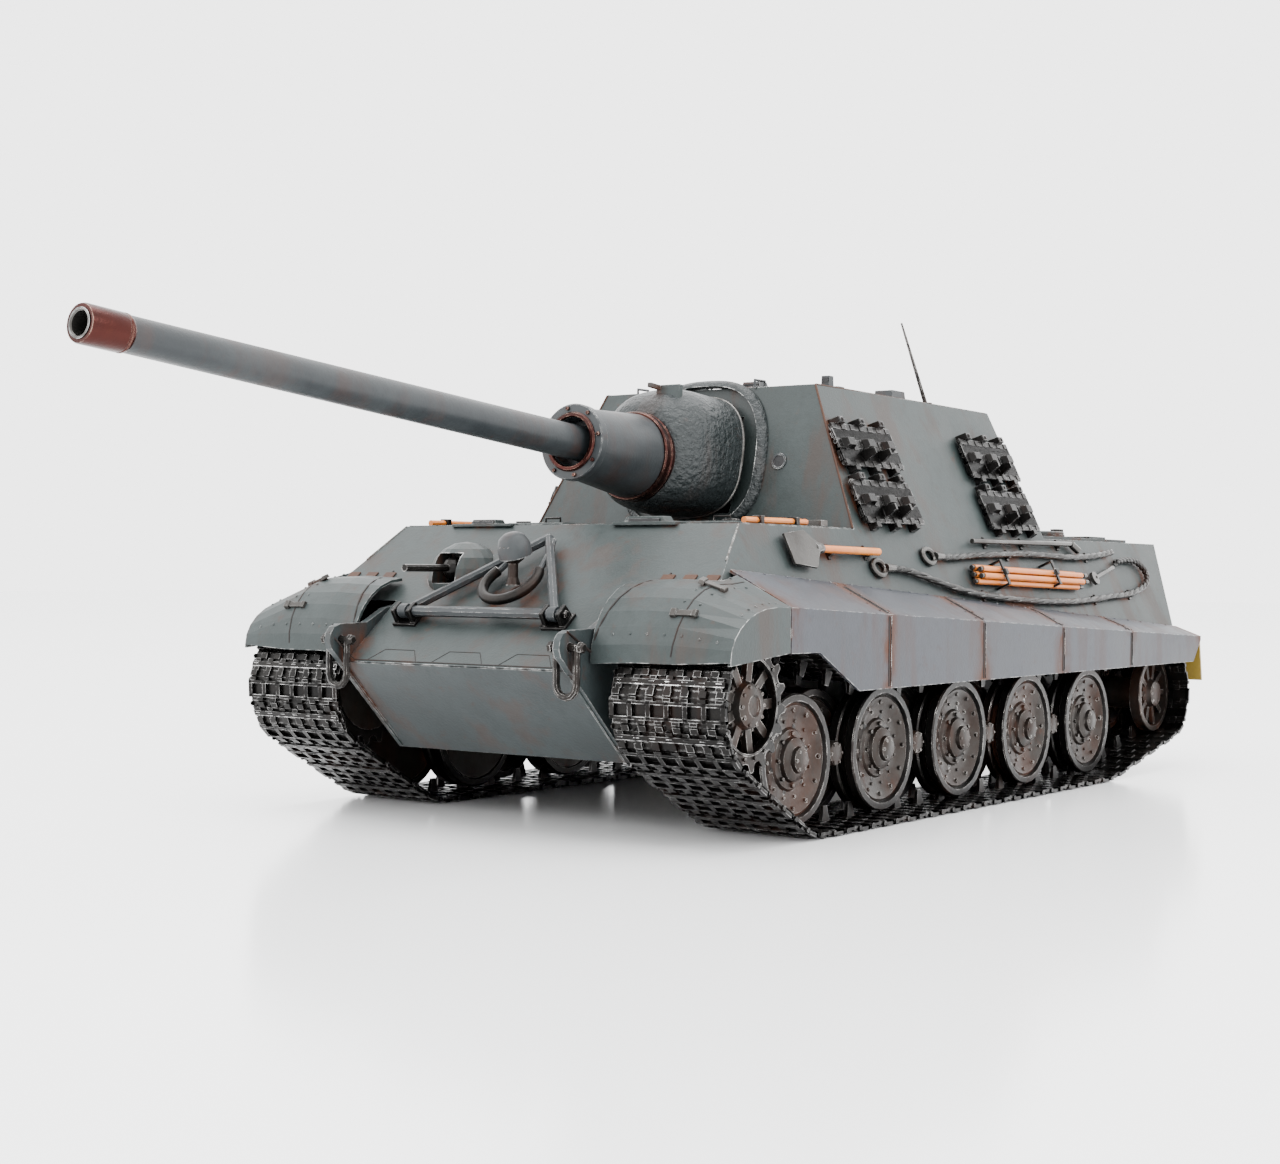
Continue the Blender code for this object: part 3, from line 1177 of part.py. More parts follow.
def make_shackle(name, side):
    """Towing shackle hanging from its bolt through the lug."""
    pin_y, pin_z = lug_pin()
    x = side * (TUB_HALF_WIDTH - TUB_WALL / 2)
    half = SHACKLE_HALF_WIDTH
    points = [(x - half, pin_y, pin_z + 0.001)]
    for k in range(7):
        angle = math.pi + math.pi * k / 6
        points.append((x + half * math.cos(angle), pin_y,
                       pin_z - SHACKLE_LENGTH + half + half * math.sin(angle)))
    points.append((x + half, pin_y, pin_z + 0.001))
    shackle = tube(name, points, SHACKLE_TUBE_RADIUS, WIRE_STEEL, PARTS)
    join(shackle, cylinder(name + "_bolt", LUG_HOLE_RADIUS - RUNNING_GAP, (x - half - 0.002, pin_y, pin_z),
                           (x + half + 0.002, pin_y, pin_z), 10))
    return on_axis(shackle, (x, pin_y, pin_z))


# ---------------------------------------------------------------- hatches and fittings
def make_crew_hatch(name, side):
    """Hull roof hatch in front of the casemate, hinged at its outer edge."""
    y = (GLACIS_TOP_Y + CASEMATE_FRONT_Y) / 2 + 0.006
    rise = deck_z(y - CREW_HATCH_LENGTH / 2) + FIT_GAP
    x = side * CREW_HATCH_X
    hatch = box(name, (x - CREW_HATCH_WIDTH / 2, y - CREW_HATCH_LENGTH / 2, rise),
                (x + CREW_HATCH_WIDTH / 2, y + CREW_HATCH_LENGTH / 2, rise + HATCH_THICKNESS),
                GREY_PAINT, PARTS)
    edge = hatch.modifiers.new("edge", "BEVEL")
    edge.width = 0.0005
    edge.segments = 1
    return on_axis(hatch, (x + side * CREW_HATCH_WIDTH / 2, y, rise))


def make_commander_hatch():
    """Round casemate hatch with a hinge tab and a lifting handle."""
    y = CASEMATE_FRONT_Y + COMMANDER_HATCH_BEHIND
    low = roof_z(y) + 0.0010 + FIT_GAP
    hatch = cylinder("commander_hatch", COMMANDER_HATCH_RADIUS, (COMMANDER_HATCH_X, y, low),
                     (COMMANDER_HATCH_X, y, low + HATCH_THICKNESS), 24, None, GREY_PAINT, PARTS)
    handle = tube("hatch_handle", [(COMMANDER_HATCH_X - 0.005, y, low + 0.001),
                                   (COMMANDER_HATCH_X - 0.005, y, low + 0.0045),
                                   (COMMANDER_HATCH_X + 0.005, y, low + 0.0045),
                                   (COMMANDER_HATCH_X + 0.005, y, low + 0.001)], 0.0006)
    join(hatch, handle)
    return on_axis(hatch, (COMMANDER_HATCH_X, y + COMMANDER_HATCH_RADIUS, low))


def make_rear_door(name, side):
    """One leaf of the casemate's rear door, lying on the rear plate."""
    lean = math.tan(CASEMATE_REAR_LEAN)
    foot_z = DECK_Z + 0.0120
    offset = FIT_GAP + 0.0003
    outline = []
    for z, out in ((foot_z, offset), (foot_z, offset + DOOR_THICKNESS),
                   (foot_z + DOOR_HEIGHT, offset + DOOR_THICKNESS),
                   (foot_z + DOOR_HEIGHT, offset)):
        outline.append((CASEMATE_REAR_Y - (z - DECK_Z) * lean + out, z))
    low, high = sorted((side * DOOR_MID_GAP / 2, side * DOOR_WIDTH))
    leaf = prism(name, outline, low, high, GREY_PAINT, PARTS)
    return on_axis(leaf, (side * DOOR_WIDTH, CASEMATE_REAR_Y + offset + DOOR_THICKNESS, foot_z))


def make_exhaust(name, side):
    """Exhaust pipe rising from an armoured sleeve on the rear plate."""
    x = side * EXHAUST_X
    foot_z = DECK_Z - 0.030
    foot = Vector((x, rear_y(foot_z) + 0.0050, foot_z))
    tip_y = DECK_REAR_Y + EXHAUST_REACH - EXHAUST_RADIUS * 0.75
    points = [foot, foot + Vector((0, 0.0095, 0.004)), (x, tip_y - 0.0005, DECK_Z - 0.010),
              (x, tip_y, DECK_Z + 0.006)]
    pipe = tube(name, points, EXHAUST_RADIUS * 0.75, DARK_STEEL, PARTS)
    normal = Vector((0, math.cos(REAR_LEAN), -math.sin(REAR_LEAN)))
    base = Vector((x, rear_y(foot_z), foot_z)) + normal * (FIT_GAP * 1.5)
    join(pipe, cylinder(name + "_sleeve", EXHAUST_RADIUS * 1.35, base, base + normal * 0.007, 14))
    return pipe


def make_antenna():
    """Whip antenna leaning from a small base on the casemate roof."""
    y = CASEMATE_FRONT_Y + ANTENNA_BEHIND
    foot = Vector((ANTENNA_X, y, roof_z(y - 0.003) + FIT_GAP))
    base = cylinder("antenna", 0.0028, foot, foot + Vector((0, 0, 0.0035)), 12, None, DARK_STEEL, PARTS)
    start = foot + Vector((0, 0, 0.002))
    join(base, cylinder("whip", 0.0011, start, start + Vector(ANTENNA_TIP), 8, 0.0005))
    return base


def make_battery():
    """Battery pack on the tub floor."""
    width, length, height = BATTERY_SIZE
    front = LAST_AXLE_Y - BATTERY_FRONT_AHEAD
    floor = BELLY_Z + TUB_WALL + FIT_GAP
    pack = box("battery_pack", (-width / 2, front, floor), (width / 2, front + length, floor + height),
               BLACK_PLASTIC, PARTS)
    edge = pack.modifiers.new("edge", "BEVEL")
    edge.width = 0.002
    edge.segments = 1
    return pack


def make_control_board():
    """Receiver and motor control board with two chips and a socket."""
    width, length, height = BOARD_SIZE
    front = LAST_AXLE_Y - BATTERY_FRONT_AHEAD + BATTERY_SIZE[1] + 0.008
    floor = BELLY_Z + TUB_WALL + 0.003
    board = box("control_board", (-width / 2, front, floor), (width / 2, front + length, floor + height),
                BOARD_GREEN, PARTS)
    top = floor + height
    join(board, box("chip_a", (-0.020, front + 0.010, top - 0.001), (-0.004, front + 0.026, top + 0.002)),
         box("chip_b", (0.006, front + 0.012, top - 0.001), (0.022, front + 0.022, top + 0.002)),
         box("socket", (-0.020, front + 0.036, top - 0.001), (0.024, front + 0.044, top + 0.007)))
    return board


def make_speaker():
    """Sound speaker on the tub floor behind the board."""
    y = LAST_AXLE_Y - BATTERY_FRONT_AHEAD + BATTERY_SIZE[1] + 0.008 + BOARD_SIZE[1] + 0.006 + SPEAKER_RADIUS
    floor = BELLY_Z + TUB_WALL + FIT_GAP
    profile = [(0.0, 0.004), (0.010, 0.0075), (SPEAKER_RADIUS - 0.002, 0.012), (SPEAKER_RADIUS, 0.012),
               (SPEAKER_RADIUS, 0.008), (0.012, 0.0), (0.0, 0.0)]
    speaker = turned("speaker", profile, 20, BLACK_PLASTIC)
    speaker.location = (0, y, floor)
    return speaker


def make_gearbox(name, side):
    """Gearbox and motor block that takes the drive shaft's inner end."""
    floor = BELLY_Z + TUB_WALL + FIT_GAP
    outer = TUB_HALF_WIDTH - TUB_WALL - FIT_GAP
    low, high = sorted((side * outer, side * (outer - GEARBOX_WIDTH)))
    front = SPROCKET_Y - 0.0100
    chin = SPROCKET_Z - 0.0060
    outline = [(bow_inside_y(floor) + 0.001, floor), (front, chin), (front, floor + GEARBOX_HEIGHT),
               (front + GEARBOX_LENGTH, floor + GEARBOX_HEIGHT), (front + GEARBOX_LENGTH, floor)]
    case = prism(name, outline, low, high, BLACK_PLASTIC, PARTS)
    shaft_end = TRACK_CENTRE_X - SPROCKET_RING_OFFSET - SPROCKET_RING_THICKNESS / 2 - DRIVE_SHAFT_LENGTH
    bore = cylinder(name + "_bore", DRIVE_SHAFT_RADIUS + RUNNING_GAP,
                    (side * (shaft_end - 0.001), SPROCKET_Y, SPROCKET_Z),
                    (side * (outer + 0.01), SPROCKET_Y, SPROCKET_Z), 16)
    motor_x = side * (outer - MOTOR_INSET)
    back = front + GEARBOX_LENGTH
    motor = cylinder(name + "_motor", MOTOR_RADIUS, (motor_x, back - 0.002, floor + MOTOR_RISE),
                     (motor_x, back + MOTOR_LENGTH, floor + MOTOR_RISE), 16)
    join(case, motor)
    cut(case, bore)
    return case


def make_power_switch():
    """Slide switch knob in its slot under the belly."""
    half = SWITCH_SLOT[0] / 2 - 0.0005
    length = SWITCH_SLOT[1] - SWITCH_TRAVEL - 0.0010
    start = 0.0005
    knob = box("power_switch", (-half, start, BELLY_Z - 0.0004),
               (half, start + length, BELLY_Z + SWITCH_SLOT[2] - FIT_GAP), BLACK_PLASTIC, PARTS)
    return on_axis(knob, (0, start, BELLY_Z))


# ---------------------------------------------------------------- build
def build():
    """Make every sub-part and hang the moving ones on their joint axes."""
    make_lower_hull()
    make_upper_hull()
    make_roof()
    make_engine_deck()
    make_headlight()
    make_antenna()
    make_battery()
    make_control_board()
    make_speaker()
    make_power_switch()
    for label, side in SIDES:
        make_skirt("skirt_" + label, side)
        make_mudguard("mudguard_" + label, side)
        make_rear_flap("mud_flap_" + label, side)
        make_suspension("suspension_" + label, side)
        make_gearbox("gearbox_" + label, side)
        make_exhaust("exhaust_" + label, side)
        make_track("track_" + label, side)
        make_sprocket("sprocket_" + label, side)
        make_idler("idler_" + label, side)
        make_shackle("tow_shackle_" + label, side)
        make_rear_door("rear_door_" + label, side)
        for number in range(1, WHEEL_COUNT + 1):
            make_road_wheel("road_wheel_{}_{}".format(label, number), side, number)
    make_crew_hatch("driver_hatch", 1)
    make_crew_hatch("radio_hatch", -1)
    make_commander_hatch()
    make_travel_lock()
    make_bow_mg()
    yoke_axis = empty("gun_traverse_axis", TRUNNION)
    elevation_axis = empty("gun_elevation_axis", TRUNNION)
    hang_on(yoke_axis, make_yoke(), elevation_axis)
    hang_on(elevation_axis, make_mantlet(), make_barrel())


build()
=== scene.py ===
import math

import bpy
import numpy as np
from mathutils import Matrix, Vector
from mathutils.bvhtree import BVHTree


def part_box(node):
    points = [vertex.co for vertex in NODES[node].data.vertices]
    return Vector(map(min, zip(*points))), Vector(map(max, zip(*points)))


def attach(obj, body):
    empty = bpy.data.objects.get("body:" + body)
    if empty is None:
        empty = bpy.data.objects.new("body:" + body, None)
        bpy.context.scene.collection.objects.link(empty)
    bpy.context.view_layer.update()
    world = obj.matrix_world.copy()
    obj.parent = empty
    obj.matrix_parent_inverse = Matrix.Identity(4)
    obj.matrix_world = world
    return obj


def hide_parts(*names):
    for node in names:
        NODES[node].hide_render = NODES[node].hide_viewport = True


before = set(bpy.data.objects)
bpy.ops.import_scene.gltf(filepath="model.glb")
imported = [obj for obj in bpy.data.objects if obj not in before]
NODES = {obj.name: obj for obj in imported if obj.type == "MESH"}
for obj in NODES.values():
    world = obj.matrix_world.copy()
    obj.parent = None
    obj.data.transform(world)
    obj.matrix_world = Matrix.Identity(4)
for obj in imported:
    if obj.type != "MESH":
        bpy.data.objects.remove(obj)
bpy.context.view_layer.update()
SIDES = (("left", 1), ("right", -1))

# ---------------------------------------------------------------- shared sizes of the CAD part
AXLE_Y0, AXLE_PITCH, AXLE_Z = -0.077, 0.0331, 0.0287
WHEEL_R = 0.025
SPROCKET = (-0.1177, 0.0512)
IDLER = (0.264, 0.0383)
IDLER_R = 0.0192
TRACK_X = 0.0928
HORN_X = 0.0065
TRACK_W = 0.05
PLAY = 0.0008
LINKS = 96
TRUNNION = Vector((0.0, 0.023, 0.1411))
FORWARD = Vector((0.0, -0.99556, 0.09411))
GUN_UP = Vector((0.0, 0.09411, 0.99556))
LEAN = math.radians(25)
DECK_Z, DECK_X = 0.1173, 0.0842
NOSE_Y, NOSE_Z, GLACIS = -0.1532, 0.0631, 0.68018
BELT_BEND = 0.08                 # radius of the upper run where it bends down
SPROCKET_TEETH, SPROCKET_ROOT, SPROCKET_TIP = 18, 0.0212, 0.0243
WHEEL_HALF = 0.0057
POT_HALF_WIDTH, POT_UP, POT_DOWN, POT_SQUARENESS = 0.0275, 0.0325, 0.0215, 0.75
POT_TO_PLATE = 0.0046
PLATE_RAKE = 0.2679                # run back for each unit of height of the front plate
PLATE_N = Vector((0, -1, PLATE_RAKE)).normalized()
PLATE_FOOT = Vector((0, 0, DECK_Z))
SKIRT_FRONT_Y = -0.1058
SKIRT_SEAMS = (-0.034, 0.047, 0.126, 0.204)
LOCK_X, LOCK_UP = (-0.0395, 0.035), 0.0262
LOCK_PIN_OUT = 0.0042
SADDLE_UP, SADDLE_R = LOCK_UP + 0.019, 0.0118
HEADLIGHT_X = 0.002

DOWN = (0, 0, -1)
UP = (0, 0, 1)
ACROSS = (1, 0, 0)
BACK = (0, 1, 0)
AHEAD = (0, -1, 0)


# ---------------------------------------------------------------- materials
def node(tree, kind, **values):
    made = tree.nodes.new(kind)
    for key, value in values.items():
        setattr(made, key, value)
    return made


def surface(name, base, second, rust=0.0, wear=0.0, rough=0.55, metal=0.0, bump=0.15, grain=900.0,
            rust_tint=(0.052, 0.0155, 0.0055), wear_tint=(0.42, 0.42, 0.41), painted_shade=0.6, patch=26.0,
            coat=0.0, bands=(), shine=0.28):
    """Procedural weathered finish: mottling, painted shade from ambient occlusion in corners and recesses,
    rust washes and rubbed edges.
    """
    m = bpy.data.materials.new(name)
    m.use_nodes = True
    t = m.node_tree
    bsdf = t.nodes["Principled BSDF"]
    bsdf.inputs["Specular IOR Level"].default_value = shine
    link = t.links.new
    where = node(t, "ShaderNodeTexCoord").outputs["Object"]

    def noise(scale, detail=4.0, stretch=None):
        n = node(t, "ShaderNodeTexNoise")
        n.inputs["Scale"].default_value = scale
        n.inputs["Detail"].default_value = detail
        n.inputs["Roughness"].default_value = 0.62
        if stretch:
            squeeze = node(t, "ShaderNodeMapping")
            squeeze.inputs["Scale"].default_value = stretch
            link(where, squeeze.inputs["Vector"])
            link(squeeze.outputs[0], n.inputs["Vector"])
        else:
            link(where, n.inputs["Vector"])
        return n.outputs["Fac"]

    def ramp(value, low, high):
        r = node(t, "ShaderNodeMapRange", clamp=True, interpolation_type="SMOOTHSTEP")
        r.inputs["From Min"].default_value = low
        r.inputs["From Max"].default_value = high
        link(value, r.inputs["Value"])
        return r.outputs[0]

    def calc(how, a, b):
        c = node(t, "ShaderNodeMath", operation=how)
        for socket, value in zip(c.inputs, (a, b)):
            if isinstance(value, (int, float)):
                socket.default_value = value
            else:
                link(value, socket)
        return c.outputs[0]

    def mix(a, b, share):
        x = node(t, "ShaderNodeMix", data_type="RGBA")
        for socket, value in ((x.inputs[6], a), (x.inputs[7], b)):
            if isinstance(value, tuple):
                socket.default_value = (*value, 1.0)
            else:
                link(value, socket)
        if isinstance(share, (int, float)):
            x.inputs[0].default_value = share
        else:
            link(share, x.inputs[0])
        return x.outputs[2]

    broad = ramp(noise(patch, 5.0), 0.35, 0.68)
    colour = mix(base, second, broad)
    fine = ramp(noise(patch * 9, 6.0), 0.42, 0.72)
    colour = mix(colour, tuple(c * 0.72 for c in base), calc("MULTIPLY", fine, 0.35))
    roughness = calc("ADD", calc("MULTIPLY", broad, 0.12), rough - 0.06)
    # painted shade: ambient occlusion darkens the colour towards 0.3 of the base in corners and recesses,
    # scaled by the shade strength argument; the same mask also draws rust into hollows and keeps rubbed
    # edges out of them
    hide = node(t, "ShaderNodeAmbientOcclusion", samples=6)
    hide.inputs["Distance"].default_value = 0.012
    hollow_shade_and_rust = ramp(calc("SUBTRACT", 1.0, hide.outputs["AO"]), 0.12, 0.75)
    colour = mix(colour, tuple(c * 0.3 for c in base), calc("MULTIPLY", hollow_shade_and_rust, painted_shade))
    if rust:
        runs = ramp(noise(55.0, 5.0, (1.0, 1.0, 0.16)), 0.5, 0.66)
        near = calc("ADD", calc("MULTIPLY", hollow_shade_and_rust, 1.1), 0.26)
        spots = ramp(noise(140.0, 6.0), 0.6, 0.72)
        share = calc("MAXIMUM", calc("MULTIPLY", runs, near), calc("MULTIPLY", spots, 0.28))
        if bands:
            axes = node(t, "ShaderNodeSeparateXYZ")
            link(where, axes.inputs[0])
            stain = ramp(noise(70.0, 6.0, (1.0, 1.0, 0.5)), 0.34, 0.58)
            for y in bands:
                away = calc("ABSOLUTE", calc("SUBTRACT", axes.outputs[1], y), 0.0)
                here = calc("SUBTRACT", 1.0, ramp(away, 0.0004, 0.012))
                share = calc("MAXIMUM", share, calc("MULTIPLY", here, stain))
        share = calc("MULTIPLY", share, rust)
        colour = mix(colour, rust_tint, share)
        roughness = calc("ADD", roughness, calc("MULTIPLY", share, 0.2))
    metallic = metal
    if wear:
        round_off = node(t, "ShaderNodeBevel", samples=6)
        round_off.inputs["Radius"].default_value = 0.0006
        flat = node(t, "ShaderNodeNewGeometry")
        same = node(t, "ShaderNodeVectorMath", operation="DOT_PRODUCT")
        link(round_off.outputs[0], same.inputs[0])
        link(flat.outputs["Normal"], same.inputs[1])
        edge = ramp(calc("SUBTRACT", 1.0, same.outputs["Value"]), 0.02, 0.16)
        edge = calc("MULTIPLY", edge, ramp(noise(260.0, 5.0), 0.42, 0.6))
        edge = calc("MULTIPLY", calc("MULTIPLY", edge, calc("SUBTRACT", 1.0, hollow_shade_and_rust)), wear)
        colour = mix(colour, wear_tint, edge)
        metallic = calc("ADD", metal, calc("MULTIPLY", edge, 0.8 * (1.0 - metal)))
        roughness = calc("SUBTRACT", roughness, calc("MULTIPLY", edge, 0.2))
    link(colour, bsdf.inputs["Base Color"])
    link(roughness, bsdf.inputs["Roughness"])
    if isinstance(metallic, (int, float)):
        bsdf.inputs["Metallic"].default_value = metallic
    else:
        link(metallic, bsdf.inputs["Metallic"])
    if coat:
        bsdf.inputs["Coat Weight"].default_value = coat
        bsdf.inputs["Coat Roughness"].default_value = 0.15
    raised = node(t, "ShaderNodeBump")
    raised.inputs["Strength"].default_value = bump
    raised.inputs["Distance"].default_value = 0.0006 if bump < 0.9 else 0.0016
    link(noise(grain, 3.0), raised.inputs["Height"])
    link(raised.outputs[0], bsdf.inputs["Normal"])
    return m


# Every finish below gets painted shade darkening its corners and recesses; some set its strength
# themselves.
HULL_PAINT = surface("hull_paint", (0.0135, 0.0195, 0.019), (0.026, 0.034, 0.034), rust=1.0, wear=0.9,
                     rough=0.46)
SKIRT_PAINT = surface("skirt_paint", (0.02, 0.023, 0.0295), (0.037, 0.0405, 0.049), rust=1.0, wear=1.0,
                      rough=0.44, bands=(SKIRT_FRONT_Y, *SKIRT_SEAMS, 0.2953))
TUB_PAINT = surface("tub_paint", (0.014, 0.019, 0.02), (0.025, 0.032, 0.033), rust=1.0, wear=0.8,
                    rough=0.44)
CAST_PAINT = surface("cast_paint", (0.01, 0.0135, 0.014), (0.018, 0.022, 0.023), rust=0.5, wear=1.0,
                     rough=0.38, bump=1.0, grain=330.0)
GUN_PAINT = surface("gun_paint", (0.016, 0.019, 0.021), (0.028, 0.032, 0.034), rust=0.8, wear=1.0,
                    rough=0.42)
GUNMETAL = surface("gunmetal", (0.009, 0.0087, 0.0083), (0.018, 0.0155, 0.014), rust=0.35, wear=0.9,
                   rough=0.36, metal=0.75, wear_tint=(0.5, 0.48, 0.46))
TRACK_METAL = surface("track_metal", (0.006, 0.0058, 0.0056), (0.015, 0.0138, 0.0128), rust=0.2, wear=0.45,
                      rough=0.34, metal=0.8, wear_tint=(0.62, 0.61, 0.6), painted_shade=0.8)
GROUSER = surface("worn_grouser", (0.022, 0.0215, 0.021), (0.11, 0.108, 0.106), rust=0.15, wear=1.0,
                  rough=0.3, metal=0.95, wear_tint=(0.75, 0.74, 0.73), patch=120.0)
RED_STEEL = surface("rusted_band", (0.04, 0.0095, 0.0075), (0.014, 0.008, 0.007), rust=0.4, wear=0.8,
                    rough=0.26, metal=0.8, wear_tint=(0.42, 0.28, 0.22))
WHEEL_STEEL = surface("wheel_steel", (0.028, 0.025, 0.0225), (0.016, 0.0078, 0.0048), rust=1.0, wear=0.9,
                      rough=0.38, metal=0.55, wear_tint=(0.5, 0.47, 0.44), painted_shade=0.85, patch=60.0,
                      rust_tint=(0.07, 0.026, 0.014))
RIM_STEEL = surface("rim_steel", (0.011, 0.0108, 0.0105), (0.024, 0.022, 0.021), rust=0.3, wear=1.0,
                    rough=0.34, metal=0.8, wear_tint=(0.55, 0.53, 0.51))
WOOD = surface("wood", (0.46, 0.115, 0.012), (0.56, 0.185, 0.03), rough=0.42,
               painted_shade=0.5, bump=0.3, grain=300.0, coat=0.2)
TOOL_STEEL = surface("tool_steel", (0.085, 0.082, 0.078), (0.034, 0.031, 0.028), rust=0.5, wear=0.9,
                     rough=0.32, metal=0.85)
CABLE = surface("cable", (0.036, 0.036, 0.035), (0.013, 0.0125, 0.012), rust=0.4, wear=0.7, rough=0.38,
                metal=0.7)
BLACK = surface("black_trim", (0.008, 0.008, 0.009), (0.016, 0.016, 0.017), wear=0.5,
                rough=0.42, wear_tint=(0.3, 0.3, 0.3))
SEAM_DARK = surface("seam_shadow", (0.004, 0.003, 0.0028), (0.012, 0.005, 0.003), rust=0.5, rough=0.7)
RUST = surface("rust_wash", (0.034, 0.0125, 0.006), (0.052, 0.022, 0.011), rust=0.6, rough=0.65)
OLIVE = surface("olive_flap", (0.2, 0.135, 0.02), (0.15, 0.1, 0.018), rust=0.3, wear=0.4)
BOARD = surface("board", (0.015, 0.12, 0.05), (0.02, 0.155, 0.065), wear=0.2, rough=0.4)
DULL_BLACK = surface("dull_black", (0.02, 0.02, 0.022), (0.03, 0.03, 0.032), rough=0.5, wear=0.2)


# ---------------------------------------------------------------- mesh building
class Shape:
    """Collects vertices and faces of one piece."""

    def __init__(self):
        self.verts = []
        self.faces = []
        self.count = 0

    def add(self, verts, faces, place=None):
        verts = np.asarray(verts, float).reshape(-1, 3)
        if place is not None:
            origin, axes = place
            verts = np.asarray(origin, float) + verts @ np.asarray(axes, float)
            if np.linalg.det(np.asarray(axes, float)) < 0:
                faces = [q[::-1] for q in faces]
        self.verts.append(verts)
        self.faces += [tuple(i + self.count for i in q) for q in faces]
        self.count += len(verts)
        return self

    def box(self, low, high, place=None, taper=1.0):
        x0, y0, z0 = low
        x1, y1, z1 = high
        cx, cy = (x0 + x1) / 2, (y0 + y1) / 2
        v = [(x0, y0, z0), (x1, y0, z0), (x1, y1, z0), (x0, y1, z0)]
        v += [(cx + (x - cx) * taper, cy + (y - cy) * taper, z1) for x, y, _ in v[:4]]
        f = [(0, 3, 2, 1), (4, 5, 6, 7), (0, 1, 5, 4), (1, 2, 6, 5), (2, 3, 7, 6), (3, 0, 4, 7)]
        return self.add(v, f, place)

    def slab(self, x, y, low, high, place=None, taper=1.0):
        """Box with half sizes x and y, between two heights."""
        return self.box((-x, -y, low), (x, y, high), place, taper)

    def lathe(self, profile, place=None, turns=48, phase=0.0):
        """Spins (radius, height) points round local Z; profile runs with the solid on its left."""
        v, f, rows = [], [], []
        for radius, height in profile:
            if radius < 1e-7:
                rows.append([len(v)])
                v.append((0.0, 0.0, height))
            else:
                rows.append(list(range(len(v), len(v) + turns)))
                for k in range(turns):
                    a = math.tau * k / turns + phase
                    v.append((radius * math.cos(a), radius * math.sin(a), height))
        for low, high in zip(rows, rows[1:]):
            for k in range(turns):
                j = (k + 1) % turns
                q = (low[k % len(low)], low[j % len(low)], high[j % len(high)], high[k % len(high)])
                q = tuple(dict.fromkeys(q))
                if len(q) > 2:
                    f.append(q)
        return self.add(v, f, place)

    def disc(self, radius, thick, place=None, turns=24):
        return self.lathe([(0, 0), (radius, 0), (radius, thick), (0, thick)], place, turns)

    def dome(self, radius, height, place=None, turns=10):
        arc = [(radius * math.cos(a), height * math.sin(a)) for a in
               (0.0, math.radians(35), math.radians(65))]
        return self.lathe([(0, -height * 0.6), (radius, -height * 0.6)] + arc + [(0, height)],
                          place, turns)

    def tube(self, points, radius, turns=10, close=False):
        """Round bar through points; radius is one value or one for each point."""
        p = [Vector(q) for q in points]
        radii = radius if isinstance(radius, (list, tuple)) else [radius] * len(p)
        n = len(p)
        v, f = [], []
        side = None
        for i in range(n):
            if close:
                along = (p[(i + 1) % n] - p[i - 1]).normalized()
            else:
                along = (p[min(i + 1, n - 1)] - p[max(i - 1, 0)]).normalized()
            if side is None:
                side = along.orthogonal().normalized()
            side = (side - along * side.dot(along)).normalized()
            other = along.cross(side)
            for k in range(turns):
                a = math.tau * k / turns
                v.append(p[i] + (side * math.cos(a) + other * math.sin(a)) * radii[i])
        for i in range(n if close else n - 1):
            for k in range(turns):
                j = (k + 1) % turns
                a, b = i * turns, ((i + 1) % n) * turns
                f.append((a + k, a + j, b + j, b + k))
        if not close:
            f.append(tuple(range(turns))[::-1])
            f.append(tuple((n - 1) * turns + k for k in range(turns)))
        return self.add([tuple(q) for q in v], f)

    def strip(self, path, width, height, sink=0.0004):
        """Raised line over (point, normal) pairs."""
        v, f = [], []
        n = len(path)
        for i, (q, up) in enumerate(path):
            along = (path[min(i + 1, n - 1)][0] - path[max(i - 1, 0)][0]).normalized()
            side = along.cross(up).normalized() * width / 2
            v += [q - side - up * sink, q + side - up * sink,
                  q + side * 0.6 + up * height, q - side * 0.6 + up * height]
        for i in range(n - 1):
            a, b = i * 4, i * 4 + 4
            for k in range(4):
                j = (k + 1) % 4
                f.append((a + k, a + j, b + j, b + k))
        f += [(3, 2, 1, 0), tuple((n - 1) * 4 + k for k in range(4))]
        return self.add([tuple(q) for q in v], f)

    def put(self, name, body, material, slot=None, smooth=32, bevel=0.0, replaces=()):
        mesh = bpy.data.meshes.new(name)
        mesh.from_pydata(np.concatenate(self.verts).tolist(), [], self.faces)
        mesh.validate()
        mesh.update()
        mesh.materials.append(material)
        made = bpy.data.objects.new(name, mesh)
        bpy.context.scene.collection.objects.link(made)
        mesh.shade_smooth()
        mesh.set_sharp_from_angle(angle=math.radians(smooth))
        if bevel:
            edge = made.modifiers.new("edge", "BEVEL")
            edge.width = bevel
            edge.segments = 2
            edge.limit_method = "ANGLE"
            edge.angle_limit = math.radians(35)
            edge.harden_normals = False
        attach(made, body)
        if replaces:
            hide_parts(*replaces)
        return made


def place(origin, z, x=None):
    """Local frame with Z along a direction and X as near as can be to another."""
    z = Vector(z).normalized()
    x = Vector(x) if x is not None else z.orthogonal()
    x = (x - z * x.dot(z)).normalized()
    y = z.cross(x)
    return (tuple(origin), (tuple(x), tuple(y), tuple(z)))


def bvh(*names):
    verts, polys, start = [], [], 0
    for name in names:
        mesh = NODES[name].data
        verts += [v.co.copy() for v in mesh.vertices]
        polys += [[i + start for i in p.vertices] for p in mesh.polygons]
        start = len(verts)
    return BVHTree.FromPolygons(verts, polys)


SKIN = bvh("upper_hull", "casemate_roof", "engine_deck", "lower_hull", "skirt_left", "skirt_right",
           "mudguard_left", "mudguard_right", "mud_flap_left", "mud_flap_right", "rear_door_left",
           "rear_door_right")


def snap(point, direction, back=0.02):
    """Where a line through a point, along a direction, meets the skin."""
    d = Vector(direction).normalized()
    hit, normal, _, _ = SKIN.ray_cast(Vector(point) - d * back, d, back * 3)
    if hit is None:
        return None, None
    return hit, (normal if normal.dot(d) < 0 else -normal)


